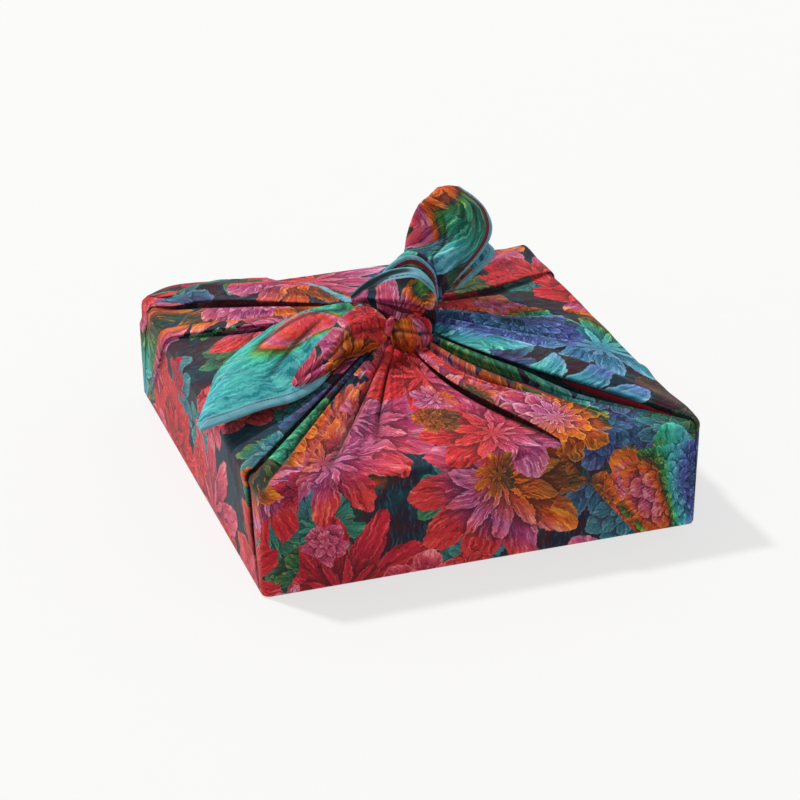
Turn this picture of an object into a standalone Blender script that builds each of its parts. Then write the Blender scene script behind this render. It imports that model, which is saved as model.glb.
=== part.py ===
"""A furoshiki: one square cloth wrapped round a flat gift box and tied on top in a square knot.

The cloth is one solid. Its outer face is a net of lines that leave the knot, cross the top,
turn over the box's edge and run down to the floor, so every gather, pleat and lip is a row of
FOLDS that all those lines share. The knot's bands and its two tails are lofted and joined to it.
The gift box inside is plain.

Origin: the middle of the underside. +X runs along the front face, +Y to the back, +Z up.
"""

import math

import bmesh
import bpy
import numpy as np

MM = 0.001

# Driving sizes, in metres
BOX_LENGTH = 0.210  # wrapped size along X
BOX_DEPTH = 0.220  # wrapped size along Y
BOX_HEIGHT = 0.053  # floor to the flat of the top
CLOTH = 0.0016  # thickness of the cloth on the box
CLEARANCE = 0.0003  # between the cloth and the gift box
BOX_EDGE = 0.0015  # slope cut along the top edges of the gift box
CORNER_RADIUS = 0.004  # upright edges, seen from above
RIM_RADIUS = 0.0035  # top edge
FOOT_RADIUS = 0.0015  # bottom edge
KNOT_CENTRE = (-0.004, 0.002)
COLLAR = (0.016, 0.012)  # half sizes of the ring where the folds go under the knot
COLUMN_STEP = 0.010  # widest spacing of the net's lines round the rim
TENT_STEP = 0.0115  # spacing of the lines of the space under the raised top

# Where each column of FOLDS is met on the way from the collar (0) to the rim (1)
REACHES = (0.0, 0.35, 0.65, 1.0)
TOP_STEPS = (0.0, 0.11, 0.22, 0.34, 0.47, 0.60, 0.74, 0.87, 0.96, 1.0)
TENT_STEPS = (0.0, 0.15, 0.35, 0.55, 0.75, 0.90)
RIM_ANGLES = (30, 60, 90)
SIDE_STEPS = (0.12, 0.28, 0.50, 0.76)  # shares of the height, from the rim down
SIDE_PEAK = 0.22  # share of the height where a fold's side value is met
BOW_PEAK = 0.38  # share of the way out where a fold bows most

# Folds round the knot, counter-clockwise from the near left corner. Millimetres and degrees.
# edge: place along the rim. collar: direction at the knot. bow: sideways bend on the top.
# knot, near, middle, rim: height over the flat top. side: how far it stands off the side face.
# drift: how far it moves along the rim's line by the time it reaches the floor.
FOLD_COLUMNS = ("edge", "collar", "bow", "knot", "near", "middle", "rim", "side", "drift")
FRONT_FOLDS = (
    (8, -129, 0, 14, 11.0, 7.5, 1.8, 0.4, 0),  # round fold over the near left corner
    (20, -124, 0, 13, 9.5, 5.8, 0.9, 0.2, 0),
    (30, -120, 0, 12, 6.8, 3.2, 0.0, 0.0, 0),  # crease
    (37, -115, 0, 13, 9.8, 6.4, 1.0, 0.2, 0),  # narrow fold
    (45, -111, 0, 13, 8.6, 4.6, 0.3, 0.0, 0),
    (52, -107, -2, 12, 6.4, 2.8, 0.0, 0.0, 0),  # crease
    (61, -103, -2, 12, 7.2, 3.6, 0.2, 0.0, 0),  # flat front panel
    (100, -95, -4, 11, 6.4, 2.8, 0.0, 0.0, 8),
    (134, -87, -5, 11, 5.6, 2.2, 0.0, 0.0, 30),
    (141, -84, -5, 10, 5.0, 1.8, -0.2, -0.4, 38),  # foot of the diagonal flap
)
RIGHT_FOLDS = (
    (144, -81, -6, 12, 9.0, 6.0, 1.9, 1.4, 38),  # lip of the diagonal flap
    (162, -75, -10, 12, 9.8, 6.8, 1.6, 0.8, 24),
    (182, -69, -15, 12, 10.4, 7.6, 1.4, 0.4, 12),  # crest of the flap
    (190, -65, -16, 10, 5.0, 2.6, 0.9, 0.2, 8),  # hollow beside it
    (196, -61, -14, 14, 11.5, 2.4, 0.5, 0.1, 4),  # roll that starts at the knot
    (201, -56, -11, 12, 7.2, 1.8, 0.4, 0.0, 3),
    (205, -51, -8, 16, 12.8, 3.0, 0.4, 0.0, 2),  # second roll that starts at the knot
    (209, -46, -4, 14, 6.4, 2.2, 0.2, 0.0, 0),  # foot of the great right roll
    (211.5, -43, -2, 18, 14.0, 10.4, 2.4, 0.5, 0),
    (223, -34, 2, 20, 17.5, 14.0, 3.2, 0.6, -8),  # crest of the great right roll
    (246, -22, 2, 19, 14.0, 8.6, 1.2, 0.0, -29),
    (260, -15, 0, 20, 13.6, 8.0, 0.9, 0.0, -42),
    (272, -9, 0, 21, 15.4, 9.6, 1.7, 1.0, -52),  # ridge that turns into the far lip
    (278, -6, 0, 20, 13.2, 7.4, 0.5, 0.0, -52),
    (301, 2, 0, 20, 11.6, 5.4, 0.0, 0.0, -18),  # crease
    (318, 9, 0, 22, 14.6, 8.2, 0.7, 0.0, -4),  # low ridge
    (338, 16, 0, 21, 12.2, 5.6, 0.0, 0.0, 0),  # trough
    (366, 25, 0, 23, 13.8, 6.6, 0.3, 0.0, 6),
    (389, 33, 0, 22, 12.0, 5.2, 0.0, -1.0, 20),  # foot of the back pleat
    (392, 35, 0, 24, 15.6, 8.8, 1.4, 0.4, 20),  # lip of the back pleat
    (410, 40, 0, 24, 15.0, 8.0, 0.7, 0.2, 10),
    (423, 44, 0, 24, 16.4, 9.4, 1.6, 0.2, 3),
    (431, 48, 0, 24, 15.4, 8.2, 1.2, 0.0, 0),
    (443, 56, 0, 23, 12.8, 5.6, 0.0, 0.0, 0),
    (456, 63, 0, 24, 15.2, 8.0, 0.8, 0.0, 0),
    (474, 70, 0, 23, 12.6, 5.4, 0.0, 0.0, 0),
)
BACK_FOLDS = (
    (491, 76, 2, 24, 13.6, 6.4, 0.2, 0.0, 0),  # flat back panel
    (530, 86, 4, 24, 13.2, 5.8, 0.0, 0.0, 8),
    (564, 95, 5, 24, 12.6, 5.2, 0.0, 0.0, 30),
    (571, 98, 5, 24, 12.4, 5.0, -0.2, -0.4, 38),  # foot of the far flap
)
LEFT_FOLDS = (
    (575, 101, 2, 25, 16.5, 9.8, 2.6, 1.4, 38),  # lip of the far flap
    (598, 112, 0, 26, 20.5, 14.0, 4.4, 0.8, 24),
    (624, 126, 0, 28, 25.0, 18.4, 6.4, 0.6, 6),  # crest of the great left roll
    (641, 136, 2, 28, 24.6, 18.2, 6.6, 0.8, 0),
    (653, 143, 3, 27, 21.8, 14.8, 4.4, 0.6, -8),
    (658, 147, 3, 26, 18.6, 10.8, 1.2, 0.0, -12),  # crease under it
    (672, 154, 3, 26, 20.0, 12.8, 2.2, 0.0, -25),  # flat band
    (685, 160, 3, 24, 17.2, 10.0, 0.9, -0.6, -37),
    (689, 163, 3, 25, 19.4, 12.6, 2.9, 2.0, -40),  # thin lip that turns down the left face
    (694, 166, 3, 24, 19.0, 12.4, 2.9, 2.0, -43),
    (698, 169, 3, 22, 15.8, 8.8, 0.6, 0.4, -44),
    (716, 175, 2, 22, 15.8, 8.6, 0.7, 0.2, -34),
    (738, 182, 0, 21, 15.0, 8.2, 0.6, 0.1, -14),  # soft ridge
    (760, 189, 0, 19, 12.2, 5.6, 0.0, 0.0, 0),
    (785, 197, 0, 18, 12.8, 6.6, 0.4, 0.0, 4),  # soft ridge under the front tail
    (808, 205, 0, 16, 10.2, 4.8, 0.0, 0.2, 10),
    (828, 212, 0, 16, 11.4, 6.4, 1.0, 0.7, 15),
    (835, 215, 0, 16, 11.4, 6.6, 1.3, 0.9, 17),  # edge of the left panel
    (838, 217, 0, 13, 6.8, 2.4, -1.2, -2.4, 17),  # slit beside the near left corner
    (841, 219, 0, 14, 9.6, 5.4, 0.5, 0.2, 15),
    (847, 222, 0, 15, 11.2, 7.4, 1.2, 0.3, 10.5),
    (854, 227, 0, 13, 8.0, 4.0, 0.1, 0.0, 5),  # crease
)

# The knot's bands and the tails, in millimetres. Each row is one section across the cloth,
# through the points named, and the rows follow the cloth.
OVER_BAND = (  # top hem, face, low edge; from the pinch on the left over the knot to the right
    ((-38, 12, 73), (-39, 8, 73), (-38, 4, 70)),
    ((-26, 7, 87), (-27, 4.5, 86), (-26, 2.5, 83)),
    ((-16, 6, 93), (-18, 0.5, 90.5), (-18.5, -3, 84)),
    ((-8, 8, 95.5), (-12, -1.5, 91), (-13, -7, 81)),
    ((0, 8, 96.5), (-4, -4, 90.5), (-5.5, -10, 77)),
    ((9.5, 7, 94), (6, -6, 88), (2, -12, 73)),
    ((14.6, 3, 87), (14, -6, 80), (9, -12.5, 71)),
    ((12.8, 0.7, 72), (11.7, -5.2, 67), (6.5, -7.6, 62)),
)
LOW_BAND = (  # upper edge, face, lower edge; left to right under the over band
    ((-15, -8, 74), (-17, -13, 69), (-15, -13, 62)),
    ((-9, -10, 78), (-10, -17, 71), (-9, -15, 60)),
    ((-1, -9, 78), (-1, -17.5, 70), (-2, -14, 59)),
    ((6.5, -7, 74), (7.5, -13.5, 68.5), (5.5, -11, 59)),
    ((10.5, -1, 70), (13, -5.5, 66), (10.5, -5, 59)),
)
KNUCKLE = (  # upper edge, face, lower edge; out of the knot towards the front tail
    ((-9, -4, 77), (-9, -11, 74), (-10, -13, 66)),
    ((-13.5, -6, 82), (-12, -14, 77), (-14, -17, 68.5)),
    ((-21, -6, 86), (-21.5, -15, 81), (-24, -20, 68.5)),
    ((-29, -3, 86), (-31, -13, 80.5), (-32, -21, 69)),
    ((-36, 2, 84), (-39, -10, 79), (-39, -23, 68)),
)
BACK_BAND = (  # front hem, crown, back edge; the arch behind the over band, left to right
    ((-8, 9, 90), (-7, 14, 89), (-6, 20, 78)),
    ((2, 12, 99), (3, 17, 98), (3, 25, 84)),
    ((8.5, 14, 99), (10, 19, 98), (10, 27, 83)),
    ((14, 14, 96), (17, 18, 94), (18, 26, 80)),
    ((17.5, 12, 91), (21, 15, 87), (22, 23, 76)),
    ((18, 9, 78), (22, 12, 75), (22, 20, 68)),
)
FRONT_TAIL = (  # hem towards the viewer, crown, far side; knot to tip
    ((-32, -19, 70), (-34, -11, 78.5), (-35, 0, 81), (-41, 12, 75)),
    ((-45, -26, 66.5), (-48, -14, 77), (-46, 0, 81), (-54, 13, 72)),
    ((-57, -36, 64.5), (-61, -21, 75), (-61, -5, 79), (-70, 9, 70)),
    ((-71, -45, 63.5), (-75, -30, 73), (-78, -16, 76), (-85, -1, 68)),
    ((-86, -51, 63), (-89, -40, 70), (-94, -29, 72.5), (-98, -16, 67)),
    ((-101, -55.5, 62.5), (-103, -48, 66.5), (-105, -41, 68), (-107, -33, 65)),
    ((-112, -58.5, 62), (-113, -55, 63.6), (-114, -51.5, 64.2), (-114, -47, 63.6)),
    ((-118, -60.5, 61.5), (-118.3, -58.9, 62.2), (-118.5, -57.3, 62.4), (-118.5, -55.7, 62.2)),
)
BACK_TAIL = (  # near hem, bulge, valley, left fold, back, far hem; knot to tip
    ((30, 18, 72), (24, 12, 78), (20, 15, 79), (16, 19, 80), (24, 26, 76), (33, 27, 67)),
    ((37, 24, 83), (27, 15, 92), (21, 19, 93), (13, 22, 92), (27, 32, 86), (50, 34, 73)),
    ((48, 28, 89), (34, 19, 99), (24, 23, 99), (9, 26, 98), (29, 38, 91), (60, 40, 81)),
    ((55, 32, 98), (38, 22, 107), (26, 27, 106), (13, 31, 107), (33, 43, 100), (57, 44, 89)),
    ((54, 36, 107), (39, 27, 115), (27, 32, 113), (19, 35, 115), (35, 45, 108), (53, 45, 101)),
    ((47.5, 38.5, 115), (38, 34, 118), (31, 36, 118), (25, 39, 117.5), (34, 46, 114.5), (46, 46, 111)),
    ((42, 41.5, 119), (37.5, 39.5, 120.8), (34, 40, 121), (30, 43, 120), (34, 47.5, 118.5), (40.5, 47.5, 117)),
)
# name, sections, sections made, faces across, thickness of its middle as a share of its width
STRIPS = (
    ("over_band", OVER_BAND, 14, 8, 0.2),
    ("low_band", LOW_BAND, 8, 6, 0.1),
    ("knuckle", KNUCKLE, 9, 8, 0.3),
    ("back_band", BACK_BAND, 10, 7, 0.24),
    ("front_tail", FRONT_TAIL, 15, 10, 0),
    ("back_tail", BACK_TAIL, 13, 16, 0),
)
STRIP_THICKNESS = 1.6  # of the cloth in the knot and the tails, in millimetres
KNOT_CORE = (-2, 2, 77)  # the middle of the bunched cloth in the knot, in millimetres
CORE_SIZE = (15, 11, 14)  # its half sizes

MATERIALS = {
    "wrap_cloth": ((0.42, 0.06, 0.10), 0.78),
    "gift_box_card": ((0.86, 0.84, 0.80), 0.70),
}


def clear_scene():
    """Remove whatever the file holds."""
    for item in list(bpy.data.objects):
        bpy.data.objects.remove(item, do_unlink=True)


def material(name):
    """A Principled material from MATERIALS."""
    colour, roughness = MATERIALS[name]
    made = bpy.data.materials.new(name)
    made.use_nodes = True
    shader = made.node_tree.nodes["Principled BSDF"]
    shader.inputs["Base Color"].default_value = (*colour, 1)
    shader.inputs["Roughness"].default_value = roughness
    return made


def add_object(name, points, faces, finish):
    """A mesh object from points in metres."""
    mesh = bpy.data.meshes.new(name)
    mesh.from_pydata([tuple(p) for p in points], [], faces)
    mesh.validate()
    mesh.materials.append(finish)
    made = bpy.data.objects.new(name, mesh)
    bpy.context.scene.collection.objects.link(made)
    return made


def monotone(knots, values, at):
    """Smooth interpolation through rows of values that never overshoots them."""
    knots = np.asarray(knots, float)
    values = np.asarray(values, float)
    step = np.diff(knots)[:, None]
    slope = np.diff(values, axis=0) / step
    tangent = np.zeros_like(values)
    tangent[0], tangent[-1] = slope[0], slope[-1]
    same_way = slope[:-1] * slope[1:] > 0
    weight_a = 2 * step[1:] + step[:-1]
    weight_b = step[1:] + 2 * step[:-1]
    safe = [np.where(same_way, part, 1.0) for part in (slope[:-1], slope[1:])]
    mean = (weight_a + weight_b) / (weight_a / safe[0] + weight_b / safe[1])
    tangent[1:-1] = np.where(same_way, mean, 0.0)
    i = np.clip(np.searchsorted(knots, at, side="right") - 1, 0, len(knots) - 2)
    u = ((at - knots[i]) / step[i, 0])[:, None]
    return (
        (1 + 2 * u) * (1 - u) ** 2 * values[i]
        + u * (1 - u) ** 2 * step[i] * tangent[i]
        + u**2 * (3 - 2 * u) * values[i + 1]
        + u**2 * (u - 1) * step[i] * tangent[i + 1]
    )


def all_folds():
    """Every row of the folds, in order round the rim."""
    return np.array([*FRONT_FOLDS, *RIGHT_FOLDS, *BACK_FOLDS, *LEFT_FOLDS], float)


def fold_values(at):
    """The columns of the folds at places along the rim, in metres and radians."""
    rows = all_folds()
    around = 2000 * (BOX_LENGTH + BOX_DEPTH)
    turn = np.zeros(rows.shape[1])
    turn[0], turn[1] = around, 360
    rows = np.vstack([rows[-3:] - turn, rows, rows[:3] + turn])
    found = monotone(rows[:, 0], rows[:, 1:], at / MM)
    columns = dict(zip(FOLD_COLUMNS[1:], found.T * MM))
    columns["collar"] = np.radians(found[:, 0])
    return columns


def rim_places():
    """Places of the net's lines round the rim: each fold's own line and enough between."""
    around = 2 * (BOX_LENGTH + BOX_DEPTH)
    corners = [0, BOX_LENGTH, BOX_LENGTH + BOX_DEPTH, 2 * BOX_LENGTH + BOX_DEPTH]
    marks = [row[0] * MM for row in all_folds()]
    for corner in corners:
        marks = [m for m in marks if abs(m - corner) > CORNER_RADIUS * 0.6]
        marks += [(corner + share * CORNER_RADIUS) % around for share in (-1, 0, 1)]
    marks = sorted(set(marks))
    places = []
    for here, after in zip(marks, marks[1:] + [marks[0] + around]):
        count = max(1, math.ceil((after - here) / COLUMN_STEP))
        places += [here + (after - here) * k / count for k in range(count)]
    return np.array(places)


def outline(at, inset):
    """Points of the wrapped box's outline, seen from above, and their outward directions."""
    sides = (BOX_LENGTH, BOX_DEPTH, BOX_LENGTH, BOX_DEPTH)
    around = sum(sides)
    at = np.mod(at, around)
    starts = np.cumsum((0,) + sides)
    corner_xy = np.array([(-1, -1), (1, -1), (1, 1), (-1, 1), (-1, -1)]) * 0.5
    corner_xy = corner_xy * (BOX_LENGTH, BOX_DEPTH)
    side = np.clip(np.searchsorted(starts, at, side="right") - 1, 0, 3)
    along = at - starts[side]
    angle = np.radians(-90 + 90 * side).astype(float)
    core = corner_xy[side] + along[:, None] * np.stack([-np.sin(angle), np.cos(angle)], 1)
    radius = CORNER_RADIUS
    to_next = np.array(sides)[side] - along
    before, ahead = along < radius, to_next < radius
    angle = angle - np.where(before, (1 - along / radius) * math.pi / 4, 0)
    angle = angle + np.where(ahead, (1 - to_next / radius) * math.pi / 4, 0)
    normal = np.stack([np.cos(angle), np.sin(angle)], 1)
    limit = np.array([BOX_LENGTH, BOX_DEPTH]) / 2 - radius
    centre = np.clip(core, -limit, limit)
    return centre + (radius - inset) * normal, normal


def top_ring(at, fold, reach):
    """The net's points on the top, seen from above, and the height over the flat top there."""
    rim, _ = outline(at, RIM_RADIUS)
    turned = np.stack([np.cos(fold["collar"]), np.sin(fold["collar"])], 1)
    start = np.array(KNOT_CENTRE) + turned * COLLAR
    way = rim - start
    across = np.stack([-way[:, 1], way[:, 0]], 1) / np.linalg.norm(way, axis=1)[:, None]
    bend = math.sin(math.pi * reach ** (math.log(0.5) / math.log(BOW_PEAK))) ** 2
    heights = np.stack([fold[name] for name in ("knot", "near", "middle", "rim")])
    lift = monotone(REACHES, heights, np.array([reach]))[0]
    return start + way * reach + across * (fold["bow"] * bend)[:, None], lift


def cloth_rings():
    """Rings of the cloth's outer face, from the collar at the knot to the edge of the floor."""
    at = rim_places()
    fold = fold_values(at)
    rim, outward = outline(at, RIM_RADIUS)
    rings = []
    for reach in TOP_STEPS:
        flat, lift = top_ring(at, fold, reach)
        rings.append(np.column_stack([flat, BOX_HEIGHT + lift]))
    for degrees in RIM_ANGLES:
        angle = math.radians(degrees)
        stand = fold["rim"] + (fold["side"] - fold["rim"]) * degrees / 90
        out = (RIM_RADIUS + stand)[:, None] * outward * math.sin(angle)
        up = BOX_HEIGHT - RIM_RADIUS + (RIM_RADIUS + stand) * math.cos(angle)
        rings.append(np.column_stack([rim + out, up]))
    for share in SIDE_STEPS:
        moved, facing = outline(at + fold["drift"] * share**1.2, 0)
        fade = 1 if share < SIDE_PEAK else 1 - (share - SIDE_PEAK) / (1 - SIDE_PEAK)
        flat = moved + facing * (fold["side"] * fade)[:, None]
        rings.append(np.column_stack([flat, np.full(len(at), BOX_HEIGHT * (1 - share))]))
    for inset, height in ((0, FOOT_RADIUS), (FOOT_RADIUS, 0)):
        foot, _ = outline(at + fold["drift"], inset)
        rings.append(np.column_stack([foot, np.full(len(at), height)]))
    return rings


def tent_rings():
    """Rings of the space under the raised top, a cloth's thickness below its lowest folds."""
    around = 2 * (BOX_LENGTH + BOX_DEPTH)
    count = round(around / TENT_STEP)
    at = np.arange(count) * around / count
    near = np.linspace(-0.6, 0.6, 9)[:, None] * TENT_STEP
    fold = fold_values(at)
    beside = fold_values(np.mod(at + near, around).ravel())
    floor = BOX_HEIGHT - CLOTH
    rings = []
    for reach in TENT_STEPS:
        flat, _ = top_ring(at, fold, reach)
        _, lifts = top_ring(np.mod(at + near, around).ravel(), beside, reach)
        lowest = lifts.reshape(len(near), count).min(axis=0)
        rings.append(np.column_stack([flat, floor + np.maximum(lowest, -MM * 0.3)]))
    foot = rings[-1].copy()
    foot[:, 2] = floor - 3 * MM
    return [*rings, foot]


def walls(count, rings):
    """Faces of the quads between rings of points, turned outwards."""
    steps = [(k, (k + 1) % count) for k in range(count)]
    starts = [ring * count for ring in range(rings - 1)]
    return [(s + a, s + count + a, s + count + b, s + b) for a, b in steps for s in starts]


def closed_net(rings):
    """Points and faces of a closed solid from rings, with a fan of faces at each end."""
    count = len(rings[0])
    points = np.vstack([*rings, rings[0].mean(axis=0), rings[-1].mean(axis=0)])
    last = (len(rings) - 1) * count
    faces = walls(count, len(rings))
    for k in range(count):
        after = (k + 1) % count
        faces.append((k, after, last + count))
        faces.append((last + after, last + k, last + count + 1))
    return points, faces


def closed_sheet(outer, inner):
    """Points and faces of a thin closed solid between the rows of its two faces."""
    rings = [np.vstack([row, under[::-1]]) for row, under in zip(outer, inner)]
    count = len(rings[0])
    last = (len(rings) - 1) * count
    faces = walls(count, len(rings))
    for k in range(count // 2 - 1):
        across = (k, k + 1, count - 2 - k, count - 1 - k)
        faces += [across, tuple(last + corner for corner in reversed(across))]
    return np.vstack(rings), faces


def block(inset):
    """Points and faces of the space inside the cloth, shrunk by inset all round."""
    half_x, half_y = BOX_LENGTH / 2 - inset, BOX_DEPTH / 2 - inset
    low, high = inset, BOX_HEIGHT - inset
    points = []
    for z, cut in ((low, 0), (high - BOX_EDGE, 0), (high, BOX_EDGE)):
        x, y = half_x - cut, half_y - cut
        points += [(-x, -y, z), (x, -y, z), (x, y, z), (-x, y, z)]
    sides = [
        (base + k, base + (k + 1) % 4, base + (k + 1) % 4 + 4, base + k + 4)
        for base in (0, 4)
        for k in range(4)
    ]
    return points, [(3, 2, 1, 0), (8, 9, 10, 11), *sides]


def through(rows, count):
    """Rows of numbers resampled evenly along a smooth curve through them."""
    rows = np.asarray(rows, float)
    ends = np.concatenate([[2 * rows[0] - rows[1]], rows, [2 * rows[-1] - rows[-2]]])
    at = np.linspace(0, len(rows) - 1, count)
    i = np.minimum(at.astype(int), len(rows) - 2)
    u = (at - i).reshape(-1, *[1] * (rows.ndim - 1))
    before, here, after, beyond = (ends[i + k] for k in range(4))
    bend = 2 * before - 5 * here + 4 * after - beyond
    twist = 3 * (here - after) + beyond - before
    return here + u * (after - before + u * (bend + u * twist)) / 2


def strip(name, sections, count, cells, swell, finish):
    """A strip of cloth through the sections, swollen inwards by a share of its width."""
    lengthwise = through(sections, count)
    sheet = through(lengthwise.transpose(1, 0, 2), cells + 1).transpose(1, 0, 2)
    normal = np.cross(np.gradient(sheet, axis=1), np.gradient(sheet, axis=0))
    normal /= np.maximum(np.linalg.norm(normal, axis=2), 1e-9)[:, :, None]
    if np.sum(normal * (sheet - KNOT_CORE)) < 0:
        normal = -normal
    share = np.linspace(0, 1, cells + 1)
    width = np.linalg.norm(sheet[:, -1] - sheet[:, 0], axis=1)[:, None]
    depth = STRIP_THICKNESS / 2 + swell * width * 4 * share * (1 - share)
    outer = sheet + normal * STRIP_THICKNESS / 2
    inner = sheet - normal * depth[:, :, None]
    made = add_object(name, *closed_sheet(outer * MM, inner * MM), finish)
    face_outwards(made)
    return made


def knot_core(finish):
    """The cloth bunched in the middle of the knot."""
    made = add_object("knot_core", [], [], finish)
    shape = bmesh.new()
    bmesh.ops.create_uvsphere(shape, u_segments=14, v_segments=9, radius=1)
    bmesh.ops.scale(shape, vec=CORE_SIZE, verts=shape.verts)
    bmesh.ops.translate(shape, vec=KNOT_CORE, verts=shape.verts)
    bmesh.ops.scale(shape, vec=(MM, MM, MM), verts=shape.verts)
    shape.to_mesh(made.data)
    shape.free()
    return made


def face_outwards(made):
    """Split the faces into triangles and turn them outwards."""
    shape = bmesh.new()
    shape.from_mesh(made.data)
    bmesh.ops.triangulate(shape, faces=shape.faces[:])
    bmesh.ops.recalc_face_normals(shape, faces=shape.faces[:])
    shape.to_mesh(made.data)
    shape.free()


def combine(target, tool, operation):
    """Join the tool to the target, or cut it away, and keep the tool as a hidden helper."""
    tool.hide_render = True
    tool.display_type = "WIRE"
    step = target.modifiers.new(f"{operation.lower()} {tool.name}", "BOOLEAN")
    step.object = tool
    step.operation = operation
    step.solver = "MANIFOLD"


def build():
    clear_scene()
    finish = material("wrap_cloth")
    cloth = add_object("furoshiki_cloth", *closed_net(cloth_rings()), finish)
    for name, sections, count, cells, swell in STRIPS:
        combine(cloth, strip(name, sections, count, cells, swell, finish), "UNION")
    combine(cloth, knot_core(finish), "UNION")
    combine(cloth, add_object("box_space", *block(CLOTH), finish), "DIFFERENCE")
    combine(cloth, add_object("tent_space", *closed_net(tent_rings()), finish), "DIFFERENCE")
    add_object("gift_box", *block(CLOTH + CLEARANCE), material("gift_box_card"))


build()
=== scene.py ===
"""Looks of the furoshiki wrap: the folded cloth as a thin fine surface on its solid's folds, its
knot and tails with hems and stitches, a procedural flower print, and the studio round it."""

import math

import bmesh
import bpy
import numpy as np
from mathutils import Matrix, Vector


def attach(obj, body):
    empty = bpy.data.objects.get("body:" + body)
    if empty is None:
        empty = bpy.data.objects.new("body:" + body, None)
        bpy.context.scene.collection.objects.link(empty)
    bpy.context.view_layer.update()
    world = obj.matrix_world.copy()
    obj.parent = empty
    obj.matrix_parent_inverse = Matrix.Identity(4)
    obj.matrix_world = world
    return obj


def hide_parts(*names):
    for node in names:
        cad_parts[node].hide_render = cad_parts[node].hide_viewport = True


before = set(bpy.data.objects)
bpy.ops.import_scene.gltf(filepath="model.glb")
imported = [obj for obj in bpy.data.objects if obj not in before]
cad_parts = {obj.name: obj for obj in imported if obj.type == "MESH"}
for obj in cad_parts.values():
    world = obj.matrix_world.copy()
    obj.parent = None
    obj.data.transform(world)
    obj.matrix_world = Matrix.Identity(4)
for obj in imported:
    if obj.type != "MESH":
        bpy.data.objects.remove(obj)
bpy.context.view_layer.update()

MM = 0.001

# Sizes of the solid that the cloth lies on, in metres
BOX_LENGTH = 0.210
BOX_DEPTH = 0.220
BOX_HEIGHT = 0.053
CLOTH = 0.0016
LOWEST = 0.0013  # how far a trough goes down into the solid's wall
CORNER_LOWEST = 0.0006  # and at the upright corners, where the gift box comes closer
AROUND = 2 * (BOX_LENGTH + BOX_DEPTH)
ROUND = 860.0  # the same in mm
CORNER_RADIUS = 0.004
RIM_RADIUS = 0.0035
FOOT_RADIUS = 0.0015
KNOT_CENTRE = (-0.004, 0.002)
COLLAR = (0.016, 0.012)
REACHES = (0.0, 0.35, 0.65, 1.0)
SIDE_PEAK = 0.22
BOW_PEAK = 0.38
NARROWEST = 0.35  # width of small folds at the knot, as a share of that at the rim
RIM_WAY = 1.06  # way where the rim's curve ends and the side begins
TONE_REACH, TONE_WAY = 26, 0.38  # how far a place of the print's colour reaches, in mm and ways

# Fineness of the surface
COLUMN_STEP = 1.7  # mm round the rim
STEP_COLUMNS = 13  # over the lip of a pleat
TOP_ROWS = 56
RIM_ROWS = 7
SIDE_ROWS = 24

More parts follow.
